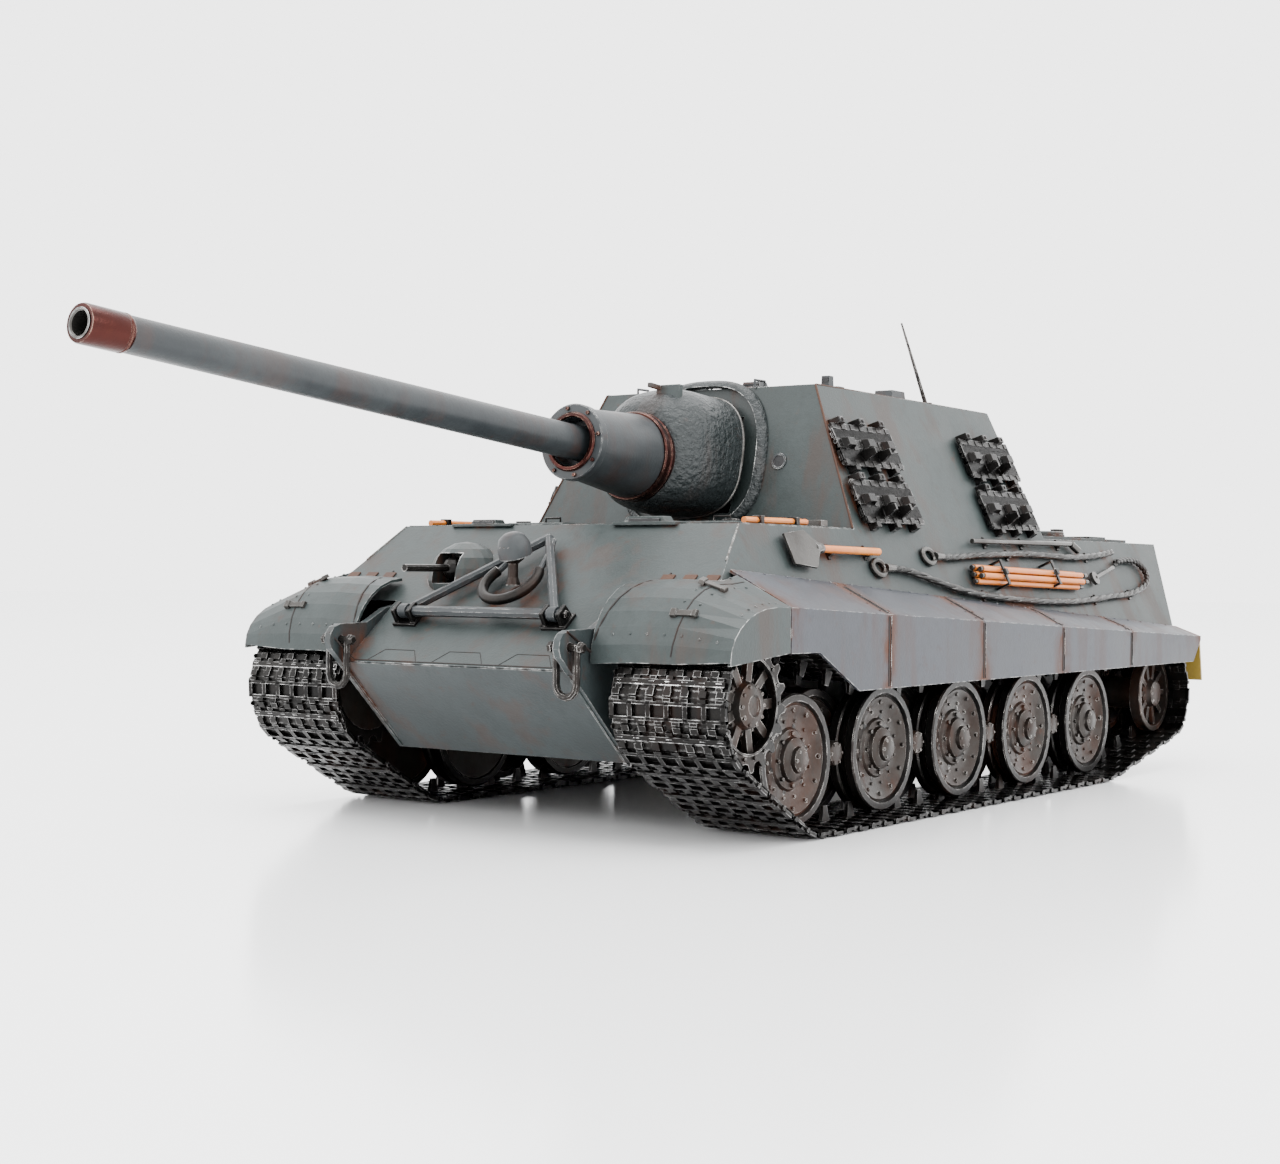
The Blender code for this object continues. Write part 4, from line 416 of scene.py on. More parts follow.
def over(points, direction, steps=6):
    """Points along a line, laid on the skin."""
    path = []
    for a, b in zip(points, points[1:]):
        for k in range(steps):
            path.append(snap(Vector(a).lerp(Vector(b), k / steps), direction))
    path.append(snap(points[-1], direction))
    return [spot for spot in path if spot[0] is not None]


def hull_x(z):
    """Half width of the leaning hull side at a height."""
    return DECK_X + (DECK_Z - z) * math.tan(LEAN)


def side_point(side, y, z, out=0.0):
    """Point on the leaning hull side, out along its normal."""
    return Vector((side * (hull_x(z) + out * math.cos(LEAN)), y, z + out * math.sin(LEAN)))


def side_normal(side):
    return Vector((side * math.cos(LEAN), 0, math.sin(LEAN)))


def side_up(side):
    return Vector((-side * math.sin(LEAN), 0, math.cos(LEAN)))


def side_place(side, y, z, out=0.0, turn=0.0):
    """Frame on the hull side: Z out, X along the tank turned by an angle in the plane."""
    along = Vector((0, math.cos(turn), 0)) + side_up(side) * math.sin(turn)
    return place(side_point(side, y, z, out), side_normal(side), along)


def glacis(x, up, out=0.0):
    """Point on the glacis, up its slope from the nose and out along its normal."""
    return Vector((x, NOSE_Y + up * math.cos(GLACIS) - out * math.sin(GLACIS),
                   NOSE_Z + up * math.sin(GLACIS) + out * math.cos(GLACIS)))


GLACIS_N = Vector((0, -math.sin(GLACIS), math.cos(GLACIS)))


def handle(shape, foot, half, out, height, radius, sink=0.0003):
    """Bent wire handle standing out from a foot, with half its length given as a vector."""
    half, out = Vector(half), Vector(out)
    shape.tube([foot - half - out * sink, foot - half + out * height,
                foot + half + out * height, foot + half - out * sink], radius, 8)


# ---------------------------------------------------------------- tracks
def belt_points(count):
    rim = WHEEL_R + PLAY
    last_y = AXLE_Y0 + 8 * AXLE_PITCH
    rest_z = AXLE_Z + rim + BELT_BEND
    pulleys = [((AXLE_Y0, AXLE_Z), rim), ((last_y, AXLE_Z), rim), (IDLER, IDLER_R + PLAY),
               ((last_y - AXLE_PITCH / 2, rest_z), -BELT_BEND),
               ((AXLE_Y0 + 2 * AXLE_PITCH, rest_z), -BELT_BEND), (SPROCKET, SPROCKET_TIP + PLAY)]
    pulleys = [(Vector(c), r) for c, r in pulleys]
    runs = []
    for (c, r), (c2, r2) in zip(pulleys, pulleys[1:] + pulleys[:1]):
        span = c2 - c
        along = span.normalized()
        left = Vector((-along.y, along.x))
        cosine = (r2 - r) / span.length
        normal = along * cosine + left * math.sqrt(1 - cosine * cosine)
        runs.append((c - normal * r, c2 - normal * r2))
    dense = []
    for i, (c, r) in enumerate(pulleys):
        arrive, leave = runs[i - 1][1] - c, runs[i][0] - c
        first, last = math.atan2(arrive.y, arrive.x), math.atan2(leave.y, leave.x)
        sweep = (last - first) % math.tau if r > 0 else -((first - last) % math.tau)
        for k in range(61):
            a = first + sweep * k / 60
            dense.append(c + Vector((math.cos(a), math.sin(a))) * abs(r))
    p = np.array([tuple(q) for q in dense])
    step = np.linalg.norm(np.roll(p, -1, 0) - p, axis=1)
    reach = np.concatenate([[0], np.cumsum(step)])
    loop = np.vstack([p, p[:1]])
    at = reach[-1] * np.arange(count) / count
    return np.stack([np.interp(at, reach, loop[:, 0]), np.interp(at, reach, loop[:, 1])], 1), reach[-1]


def link_parts(pitch, horned):
    """One track link: X across, Y along the belt, Z inwards. Returns the casting and its wear bars."""
    body, bars = Shape(), Shape()
    w = TRACK_W / 2
    half = pitch / 2
    knuckles = 13
    step = (TRACK_W - 0.0012) / knuckles
    for k in range(knuckles):
        x0 = -w + 0.0006 + k * step
        y = (-1 if (k % 2 == 0) == horned else 1) * (half - 0.0011)
        body.box((x0 + step * 0.06, y - 0.0012, -0.0022), (x0 + step * 0.94, y + 0.0012, -0.0001))
    body.box((-w + 0.0004, -half - 0.0004, -0.0011), (w - 0.0004, half + 0.0004, -0.0004))
    if horned:
        inner = half - 0.0013
        for y in (-inner + 0.0006, inner - 0.0006):
            body.box((-w, y - 0.0006, -0.0024), (w, y + 0.0006, -0.0004))
        body.box((-w, -inner, -0.001), (w, inner, -0.0004))
        windows = 6
        for k in range(windows + 1):
            x = -w + 0.001 + k * (TRACK_W - 0.002) / windows
            body.box((x - 0.001, -inner, -0.0024), (x + 0.001, inner, -0.0004))
        for k in range(windows):
            x = -w + 0.001 + (k + 0.5) * (TRACK_W - 0.002) / windows
            for s in (-1, 1):
                bars.box((x - 0.0028, s * (inner - 0.0011) - 0.0001, -0.00265),
                         (x + 0.0028, s * (inner - 0.0011) + 0.0001, -0.0022))
        for s in (-1, 1):
            body.box((s * HORN_X - 0.001, -0.0027, -0.0006), (s * HORN_X + 0.001, 0.0027, 0.0056),
                     taper=0.5)
    else:
        body.box((-w, -half + 0.0024, -0.0014), (w, half - 0.0024, -0.0004))
        body.box((-w + 0.001, -0.0011, -0.0027), (w - 0.001, 0.0011, -0.001), taper=0.98)
        for k in range(7):
            x = -w + 0.0034 + k * (TRACK_W - 0.0068) / 6
            body.box((x - 0.0014, -half + 0.0022, -0.0022), (x + 0.0014, half - 0.0022, -0.001))
            bars.box((x - 0.0012, -0.0004, -0.0029), (x + 0.0012, -0.0001, -0.0024))
        bars.box((-w + 0.0012, 0.0008, -0.00285), (w - 0.0012, 0.0011, -0.0024))
    for s in (-1, 1):
        body.disc(0.001, 0.0005, place((s * (w - 0.0004), -half + 0.0012, -0.0012), (s, 0, 0)), 8)
    return body, bars


def merged(shape):
    return np.concatenate(shape.verts), shape.faces


def make_track(label, side):
    fine, length = belt_points(LINKS * 2)
    pitch = length / LINKS
    kinds = [[merged(s) for s in link_parts(pitch, horned)] for horned in (True, False)]
    casting, wear = Shape(), Shape()
    for i in range(LINKS):
        a, m, b = fine[(2 * i) % (2 * LINKS)], fine[2 * i + 1], fine[(2 * i + 2) % (2 * LINKS)]
        along = Vector((0, b[0] - a[0], b[1] - a[1])).normalized()
        mid = (np.array(a) + np.array(b)) / 2 * 0.5 + np.array(m) * 0.5
        inward = Vector((1, 0, 0)).cross(along)
        here = ((side * TRACK_X, mid[0], mid[1]), ((1, 0, 0), tuple(along), tuple(inward)))
        for target, (v, f) in zip((casting, wear), kinds[i % 2]):
            target.add(v, f, here)
    casting.put("links_" + label, "chassis", TRACK_METAL, "track_steel", replaces=("track_" + label,))
    wear.put("link_wear_" + label, "chassis", GROUSER, "track_steel")


# ---------------------------------------------------------------- wheels
def bolts(shape, count, ring, radius, height, at, head=0.0, phase=0.0):
    """Hexagon bolt heads in a ring, standing on local Z = head."""
    origin, axes = at
    for k in range(count):
        a = math.tau * k / count + phase
        local = np.array((ring * math.cos(a), ring * math.sin(a), head))
        spot = np.asarray(origin) + local @ np.asarray(axes)
        shape.lathe([(0, -height), (radius, -height), (radius, height * 0.75), (radius * 0.8, height),
                     (0, height)], (tuple(spot), axes), 6, a)
    return shape


def make_wheel(label, side, number):
    outer = number % 2 == 1
    x = side * (TRACK_X + (HORN_X if outer else -HORN_X))
    at = place((x, AXLE_Y0 + (number - 1) * AXLE_PITCH, AXLE_Z), (side, 0, 0), (0, 1, 0))
    node_name = "road_wheel_{}_{}".format(label, number)
    half = WHEEL_HALF
    r = WHEEL_R
    rim, disc = Shape(), Shape()
    for z0, z1 in ((-half, -0.0016), (0.0016, half)):
        rim.lathe([(r - 0.003, z0), (r - 0.0006, z0), (r, z0 + 0.0005), (r, z1 - 0.0005),
                   (r - 0.0006, z1), (r - 0.003, z1), (r - 0.0038, (z0 + z1) / 2),
                   (r - 0.003, z0)], at, 72)
    rim.lathe([(r - 0.0068, -0.0022), (r - 0.0066, -0.0022), (r - 0.0066, 0.0022), (r - 0.0068, 0.0022),
               (r - 0.0068, -0.0022)], at, 48)
    face = [(0.0, -half + 0.0005), (r - 0.0036, -half + 0.0005), (r - 0.0036, 0.0042),
            (r - 0.0046, 0.0046), (r - 0.0062, 0.004), (r - 0.0082, 0.0026), (r - 0.01, 0.0022),
            (0.0122, 0.002), (0.0112, 0.003), (0.0088, 0.0034), (0.0082, 0.005), (0.0066, 0.0058),
            (0.0052, 0.0062), (0.0048, 0.0078), (0.003, 0.0086), (0.0, 0.0086)]
    if not outer:
        face = face[:-4] + [(0.0052, 0.0062), (0.005, 0.015), (0.0044, 0.0162), (0.003, 0.0166),
                            (0.0, 0.0166)]
    disc.lathe(face, at, 64)
    bolts(disc, 12, 0.0185, 0.0009, 0.0008, at, 0.0037)
    bolts(disc, 12, 0.0147, 0.0007, 0.0006, at, 0.0022, 0.26)
    bolts(disc, 8, 0.0098, 0.0009, 0.0009, at, 0.0034)
    bolts(disc, 6, 0.0038, 0.0006, 0.0005, at, 0.008 if outer else 0.0163)
    for k in range(6):
        a = math.tau * k / 6 + 0.26
        spot = (0.0125 * math.cos(a), 0.0125 * math.sin(a), 0.0019)
        spot = np.asarray(at[0]) + np.array(spot) @ np.asarray(at[1])
        rim.disc(0.0011, 0.0003, (tuple(spot), at[1]), 10)
    disc.put("wheel_disc_{}_{}".format(label, number), node_name, WHEEL_STEEL, "wheel_paint",
             replaces=(node_name,))
    rim.put("wheel_rim_{}_{}".format(label, number), node_name, RIM_STEEL, "wheel_paint")


def toothed(shape, at, teeth, root, tip, inner, z0, z1):
    """Toothed ring between two heights."""
    outline = []
    for k in range(teeth):
        for share, radius in ((0.0, root), (0.22, root * 0.985), (0.42, root), (0.58, tip * 0.985),
                              (0.66, tip), (0.78, tip), (0.86, tip * 0.985)):
            a = math.tau * (k + share) / teeth
            outline.append((radius * math.cos(a), radius * math.sin(a), inner * math.cos(a),
                            inner * math.sin(a)))
    v = []
    for z in (z0, z1):
        v += [(a, b, z) for a, b, _, _ in outline]
    for z in (z0, z1):
        v += [(c, d, z) for _, _, c, d in outline]
    n = len(outline)
    f = []
    for k in range(n):
        j = (k + 1) % n
        f += [(k, j, n + j, n + k), (2 * n + j, 2 * n + k, 3 * n + k, 3 * n + j),
              (n + k, n + j, 3 * n + j, 3 * n + k), (j, k, 2 * n + k, 2 * n + j)]
    shape.add(v, f, at)


def make_sprocket(label, side):
    name = "sprocket_" + label
    at = place((side * TRACK_X, *SPROCKET), (side, 0, 0), (0, 1, 0))
    ring, hub = Shape(), Shape()
    for z in (0.016, -0.016):
        toothed(ring, at, SPROCKET_TEETH, SPROCKET_ROOT, SPROCKET_TIP, 0.0172, z - 0.0012, z + 0.0012)
    bolts(ring, SPROCKET_TEETH, 0.0192, 0.0008, 0.0008, at, 0.0172)
    ring.lathe([(0.0172, 0.014), (0.018, 0.014), (0.018, 0.0178), (0.0172, 0.0178),
                (0.0172, 0.014)], at, 64)
    hub.lathe([(0.0, -0.016), (0.0118, -0.016), (0.0118, 0.01), (0.011, 0.014), (0.009, 0.0152),
               (0.008, 0.0182), (0.0064, 0.0192), (0.004, 0.0196), (0.0034, 0.019),
               (0.0, 0.019)], at, 48)
    hub.lathe([(0.0, -0.018), (0.018, -0.018), (0.018, -0.015), (0.0, -0.015)], at, 48)
    hub.lathe([(0.0, -0.0422), (0.0032, -0.0422), (0.0032, -0.017), (0.0, -0.017)], at, 20)
    for k in range(9):
        a = math.tau * k / 9
        out = Vector(at[1][0]) * math.cos(a) + Vector(at[1][1]) * math.sin(a)
        z = Vector(at[1][2])
        start = Vector(at[0]) + z * 0.0146
        spoke = (tuple(start), (tuple(out), tuple(z.cross(out)), tuple(z)))
        hub.box((0.0085, -0.0018, -0.0012), (0.0176, 0.0018, 0.0012), spoke)
    bolts(hub, 10, 0.007, 0.0008, 0.0007, at, 0.0186)
    bolts(hub, 9, 0.0103, 0.0006, 0.0006, at, 0.0148, 0.35)
    hub.put("sprocket_hub_" + label, name, WHEEL_STEEL, "track_steel", replaces=(name,))
    ring.put("sprocket_ring_" + label, name, GUNMETAL, "track_steel")


def make_idler(label, side):
    name = "idler_" + label
    at = place((side * TRACK_X, *IDLER), (side, 0, 0), (0, 1, 0))
    body = Shape()
    for s in (-1, 1):
        low, high = sorted((s * 0.0092, s * 0.0148))
        body.lathe([(IDLER_R - 0.0026, low), (IDLER_R - 0.0004, low), (IDLER_R, low + 0.0004),
                    (IDLER_R, high - 0.0004), (IDLER_R - 0.0004, high), (IDLER_R - 0.0026, high),
                    (IDLER_R - 0.0026, low)], at, 64)
    body.lathe([(0, -0.0145), (0.008, -0.0145), (0.008, 0.012), (0.0068, 0.0138), (0.0062, 0.0156),
                (0.0044, 0.0162), (0.0, 0.0162)], at, 40)
    for z0 in (0.0118, -0.0124):
        for k in range(10):
            a = math.tau * k / 10
            out = Vector(at[1][0]) * math.cos(a) + Vector(at[1][1]) * math.sin(a)
            z = Vector(at[1][2])
            spoke = (tuple(Vector(at[0]) + z * z0), (tuple(out), tuple(z.cross(out)), tuple(z)))
            body.box((0.006, -0.0012, -0.001), (0.017, 0.0012, 0.001), spoke)
    bolts(body, 8, 0.005, 0.0006, 0.0005, at, 0.0156)
    body.put("idler_wheel_" + label, name, WHEEL_STEEL, "wheel_paint", replaces=(name,))


for label, side in SIDES:
    make_track(label, side)
    make_sprocket(label, side)
    make_idler(label, side)
    for number in range(1, 10):
        make_wheel(label, side, number)

# ---------------------------------------------------------------- gun
GUN_AT = place(TRUNNION, FORWARD, (1, 0, 0))


def on_gun(reach, rise=0.0, across=0.0):
    return TRUNNION + FORWARD * reach + GUN_UP * rise + Vector((across, 0, 0))


def onto_plate(point, foot):
    """Where the gun's line through a point meets the raked front plate through another."""
    return point + FORWARD * ((foot - point).dot(PLATE_N) / FORWARD.dot(PLATE_N))


def make_barrel():
    tube, band = Shape(), Shape()
    tube.lathe([(0, 0.042), (0.0071, 0.042), (0.0071, 0.1045), (0.0061, 0.33), (0.0061, 0.3345),
                (0.0, 0.3345)], GUN_AT, 72)
    band.lathe([(0.0038, 0.321), (0.0038, 0.333), (0.0062, 0.333), (0.0065, 0.3336),
                (0.0065, 0.3342), (0.0063, 0.3345), (0.0063, 0.335), (0.0065, 0.3353),
                (0.0065, 0.3492), (0.0062, 0.35), (0.0048, 0.35), (0.0044, 0.3496),
                (0.004, 0.3496), (0.0038, 0.349), (0.0038, 0.3345)], GUN_AT, 72)
    tube.put("barrel_tube", "gun_barrel", GUN_PAINT, "grey_paint", replaces=("gun_barrel",))
    band.put("muzzle_band", "gun_barrel", RED_STEEL, "dark_steel")
    ring = Shape().lathe([(0.0038, 0.344), (0.0046, 0.3498), (0.005, 0.3503), (0.0044, 0.3505),
                          (0.0039, 0.35), (0.003, 0.344)], GUN_AT, 48)
    ring.put("muzzle_ring", "gun_barrel", TOOL_STEEL, "dark_steel")
    lamp = Shape().lathe([(0, 0.3345), (0.003, 0.3345), (0.003, 0.34), (0.0022, 0.3425),
                          (0.0, 0.3432)], GUN_AT, 24)
    lamp.put("muzzle_lamp", "gun_barrel", BLACK, "black_plastic")


def pot_outline(scale_x, up, down, turns=72):
    outline = []
    for k in range(turns):
        a = math.tau * k / turns
        c, s = math.cos(a), math.sin(a)
        x = POT_HALF_WIDTH * scale_x * math.copysign(abs(c) ** POT_SQUARENESS, c)
        z = (POT_UP * up if s > 0 else POT_DOWN * down) * math.copysign(abs(s) ** POT_SQUARENESS, s)
        outline.append((x, z))
    return outline


def make_pot():
    pot = Shape()
    clear = PLATE_FOOT + PLATE_N * POT_TO_PLATE
    back = [onto_plate(on_gun(0, z, x), clear) for x, z in pot_outline(1.0, 1.0, 1.0)]
    rows = [[p.lerp(sum(back, Vector()) / len(back), 0.55) for p in back], back]
    for share, reach in [(0.0, 0.037)] + [(t, 0.037 + 0.022 * t) for t in
                                          (0.15, 0.3, 0.45, 0.6, 0.72, 0.82, 0.9, 0.96, 1.0)]:
        s = 0.62 + 0.375 * (1 - share ** 1.9) ** 0.62
        down = 0.8 + 0.2 * (1 - share ** 1.9) ** 0.62
        rows.append([on_gun(reach, z, x) for x, z in pot_outline(s, s, down)])
    n = len(back)
    verts = [tuple(p) for row in rows for p in row]
    faces = []
    for i in range(len(rows) - 1):
        for k in range(n):
            j = (k + 1) % n
            faces.append((i * n + j, i * n + k, i * n + n + k, i * n + n + j))
    faces.append(tuple(range(n)))
    faces.append(tuple((len(rows) - 1) * n + k for k in range(n))[::-1])
    faces = [f[::-1] for f in faces]
    pot.add(verts, faces)
    pot.put("mantlet_pot", "gun_mantlet", CAST_PAINT, "grey_paint", smooth=50, replaces=("gun_mantlet",))
    rim = Shape().tube([p + FORWARD * 0.0006 for p in back], 0.0006, 8, close=True)
    rim.put("pot_edge", "gun_mantlet", TOOL_STEEL, "grey_paint")
    sleeve, rings = Shape(), Shape()
    sleeve.lathe([(0.0, -0.006), (0.012, -0.006), (0.012, 0.05), (0.0165, 0.055), (0.0172, 0.06),
                  (0.0178, 0.064), (0.0146, 0.0985), (0.0144, 0.1003), (0.0152, 0.1003),
                  (0.0156, 0.1007), (0.0156, 0.1041), (0.0152, 0.1045), (0.01, 0.1045),
                  (0.0098, 0.104), (0.0098, 0.0965), (0.0075, 0.0965), (0.0075, 0.0305),
                  (0.0, 0.0305)], GUN_AT, 72)
    sleeve.put("mantlet_sleeve", "gun_mantlet", GUN_PAINT, "grey_paint")
    rings.lathe([(0.0168, 0.0575), (0.0182, 0.0575), (0.0189, 0.0582), (0.0189, 0.06),
                 (0.0184, 0.0604), (0.0184, 0.0612), (0.0189, 0.0616), (0.0189, 0.064),
                 (0.0184, 0.0646), (0.0168, 0.0646)], GUN_AT, 72)
    rings.lathe([(0.01, 0.103), (0.0122, 0.103), (0.0122, 0.105), (0.0116, 0.1056),
                 (0.0104, 0.1056), (0.01, 0.105), (0.01, 0.103)], GUN_AT, 48)
    bolts(rings, 8, 0.0138, 0.0009, 0.0009, GUN_AT, 0.1045, 0.2)
    rings.put("mantlet_rings", "gun_mantlet", RED_STEEL, "dark_steel")
    sight = Shape()
    low = on_gun(0.05, 0.0285, 0.008)
    sight.slab(0.006, 0.0014, -0.004, 0.0036, place(low, GUN_UP, (1, 0, 0)))
    sight.box((-0.006, -0.008, 0.0016), (-0.004, 0.0014, 0.0036), place(low, GUN_UP, (1, 0, 0)))
    sight.put("mantlet_bracket", "gun_mantlet", HULL_PAINT, "grey_paint", bevel=0.0003)
    collar = Shape()
    inner, outer = ([onto_plate(on_gun(0, z, x), PLATE_FOOT) for x, z in outline]
                    for outline in (pot_outline(1.18, 1.16, 1.2), pot_outline(1.32, 1.26, 1.33)))
    rows = [[p - PLATE_N * 0.0006 for p in outer], [p + PLATE_N * 0.001 for p in outer],
            [p.lerp(q, 0.45) + PLATE_N * 0.0024 for p, q in zip(outer, inner)],
            [p + PLATE_N * 0.003 for p in inner], [p - PLATE_N * 0.0006 for p in inner]]
    faces = []
    for i in range(len(rows) - 1):
        for k in range(n):
            j = (k + 1) % n
            faces.append((i * n + k, i * n + j, i * n + n + j, i * n + n + k))
    collar.add([tuple(p) for row in rows for p in row], faces)
    collar.put("mantlet_collar", "chassis", CAST_PAINT, "grey_paint", smooth=60)


make_barrel()
make_pot()


# ---------------------------------------------------------------- nose and glacis
def rivets(name, spots, radius, material, body="chassis", height=None):
    shape = Shape()
    for p, n in spots:
        if p is None:
            continue
        shape.dome(radius, height or radius * 0.7, place(p, n), 8)
    return shape.put(name, body, material, "grey_paint")


def seam(shape, points, direction, width=0.0008, height=0.0002, steps=6):
    path = over(points, direction, steps)
    if len(path) > 1:
        shape.strip(path, width, height)


def edge_line(shape, start, end, radius):
    shape.tube([Vector(start).lerp(Vector(end), k / 12) for k in range(13)], radius, 6)


welds, dark = Shape(), Shape()
seam(dark, [glacis(-0.056, 0.0012, 0.004), glacis(0.056, 0.0012, 0.004)], -GLACIS_N, 0.0007, 0.0002, 20)
for x0 in (-0.044, -0.011, 0.022):
    tab = [(x0, 0.0014), (x0 + 0.005, 0.0078), (x0 + 0.02, 0.0078), (x0 + 0.025, 0.0014)]
    for a, b in zip(tab, tab[1:]):
        seam(dark, [glacis(*a, 0.004), glacis(*b, 0.004)], -GLACIS_N, 0.0004, 0.00012, 6)
for side in (-1, 1):
    seam(welds, [(side * 0.056, -0.15, 0.064), (side * 0.056, -0.118, 0.029)], (0, 0.8, 0.6),
         0.0012, 0.0004, 12)
    seam(dark, [glacis(side * 0.07, 0.056, 0.006), glacis(side * 0.058, 0.006, 0.006)], -GLACIS_N,
         0.001, 0.0003, 10)
    seam(welds, [(side * 0.0835, -0.085, 0.13), (side * 0.0835, -0.002, 0.13)], DOWN, 0.0012,
         0.0004, 14)
seam(welds, [(-0.083, -0.0835, 0.13), (0.083, -0.0835, 0.13)], DOWN, 0.0012, 0.0004, 20)
seam(welds, [(-0.078, -0.0015, 0.13), (0.078, -0.0015, 0.13)], DOWN, 0.0014, 0.0006, 20)
welds.put("weld_lines", "chassis", HULL_PAINT, "grey_paint", smooth=60)
dark.put("nose_joints", "chassis", SEAM_DARK, "grey_paint", smooth=60)

edges = Shape()
for side in (-1, 1):
    edge_line(edges, (side * 0.0836, 0.0, DECK_Z), (side * 0.0553, 0.0166, 0.179), 0.0005)
    edge_line(edges, (side * 0.0553, 0.017, 0.179), (side * 0.0553, 0.176, 0.1768), 0.0004)
edges.put("rusted_edges", "chassis", RUST, "grey_paint")
# Light steel lines along the corner edges where the glacis meets the hull sides, running down towards the
# mudguards.
edges = Shape()
for side in (-1, 1):
    edge_line(edges, (side * 0.0843, -0.0862, 0.1172), (side * 0.0905, -0.104, 0.103), 0.0004)
edges.put("light_corner_edges", "chassis", TOOL_STEEL, "grey_paint")

lock_feet, steel = Shape(), Shape()
for x in LOCK_X:
    for dx in (-0.004, 0.004):
        at = place(glacis(x + dx, LOCK_UP), GLACIS_N, ACROSS)
        lock_feet.slab(0.0011, 0.0036, -0.0004, 0.0066, at, 0.8)
        steel.lathe([(0, -0.0006), (0.0017, -0.0006), (0.0017, 0.0008), (0.0011, 0.0012), (0, 0.0012)],
                    place(glacis(x + dx * 1.3, LOCK_UP, LOCK_PIN_OUT), (math.copysign(1, dx), 0, 0)), 6)
    at = place(glacis(x, LOCK_UP), GLACIS_N, ACROSS)
    lock_feet.slab(0.0058, 0.0046, -0.0004, 0.0012, at)
lock_feet.put("lock_feet", "chassis", GUNMETAL, "grey_paint", bevel=0.0003)
steel.put("lock_nuts", "chassis", GUNMETAL, "dark_steel")
collars = Shape()
for x in LOCK_X:
    collars.lathe([(0.0, -0.0019), (0.0029, -0.0019), (0.0029, 0.0019), (0.0, 0.0019)],
                  place(glacis(x, LOCK_UP, LOCK_PIN_OUT), ACROSS), 20)
collars.put("lock_collars", "travel_lock", GUN_PAINT, "grey_paint", bevel=0.0002)

visor, glassy = Shape(), Shape()
for side in (1, -1):
    at = place((side * 0.0415, -0.085, 0.1168), UP, ACROSS)
    if side > 0:
        visor.box((-0.015, -0.0035, 0.0), (0.015, 0.0045, 0.0016), at)
        visor.box((-0.01, -0.003, 0.001), (0.01, 0.0038, 0.0036), at, 0.86)
        glassy.box((-0.0075, -0.0034, 0.0014), (0.0075, -0.0024, 0.0027), at)
    else:
        visor.box((-0.016, -0.003, 0.0), (0.016, 0.0045, 0.0012), at)
        visor.box((-0.006, -0.0026, 0.001), (0.008, 0.0036, 0.003), at, 0.86)
        glassy.box((-0.0045, -0.003, 0.0013), (0.0065, -0.002, 0.0023), at)
visor.put("hull_periscopes", "chassis", HULL_PAINT, "grey_paint", bevel=0.0003)
glassy.put("periscope_glass", "chassis", BLACK, "black_plastic")

for side, name in ((1, "driver_hatch"), (-1, "radio_hatch")):
    low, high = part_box(name)
    mid = (low + high) / 2
    trim = Shape()
    handle(trim, Vector((mid.x, mid.y, high.z)), (0.004, 0, 0), UP, 0.0022, 0.0005)
    for y in (low.y + 0.005, high.y - 0.005):
        trim.box((mid.x + side * 0.01 - 0.003, y - 0.0015, high.z - 0.0003),
                 (mid.x + side * 0.01 + 0.003, y + 0.0015, high.z + 0.0008))
    trim.put(name + "_trim", name, GUNMETAL, "dark_steel", bevel=0.0002)

# ---------------------------------------------------------------- skirts and mudguards
def shelf_z(y):
    """Height of the skirt's inner edge, against the hull."""
    return 0.1 - (y - SKIRT_FRONT_Y) * 0.07


def bend_z(y):
    """Height of the skirt's bend, at its outer face."""
    return 0.0864 - (y - SKIRT_FRONT_Y) * 0.0484


dark, chips, spots = Shape(), Shape(), []
for side in (-1, 1):
    down = (-side * 0.35, 0, -0.94)
    for y in SKIRT_SEAMS:
        bend, shelf = bend_z(y), shelf_z(y)
        inner = hull_x(shelf)
        for target, dy, wide, tall in ((dark, 0.0, 0.0016, 0.00018), (chips, 0.0014, 0.0005, 0.0003)):
            seam(target, [(side * (inner + 0.001), y + dy, shelf), (side * 0.1192, y + dy, bend + 0.0004)],
                 down, wide, tall)
            seam(target, [(side * 0.1215, y + dy, bend - 0.0008), (side * 0.1215, y + dy, 0.055)],
                 (-side, 0, 0), wide, tall)
        for dy in (-0.0032, 0.0036):
            for share in (0.12, 0.4, 0.68, 0.9):
                p = Vector((side * inner, y + dy, shelf)).lerp(Vector((side * 0.12, y + dy, bend)), share)
                spots.append(snap(p, down))
    for k in range(26):
        y = -0.1 + k * 0.0152
        spots.append(snap((side * (hull_x(shelf_z(y)) + 0.0022), y, shelf_z(y)), down))
dark.put("skirt_seams", "chassis", SEAM_DARK, "grey_paint", smooth=60)
chips.put("skirt_chips", "chassis", RIM_STEEL, "grey_paint", smooth=60)
rivets("skirt_rivets", spots, 0.00065, SKIRT_PAINT)

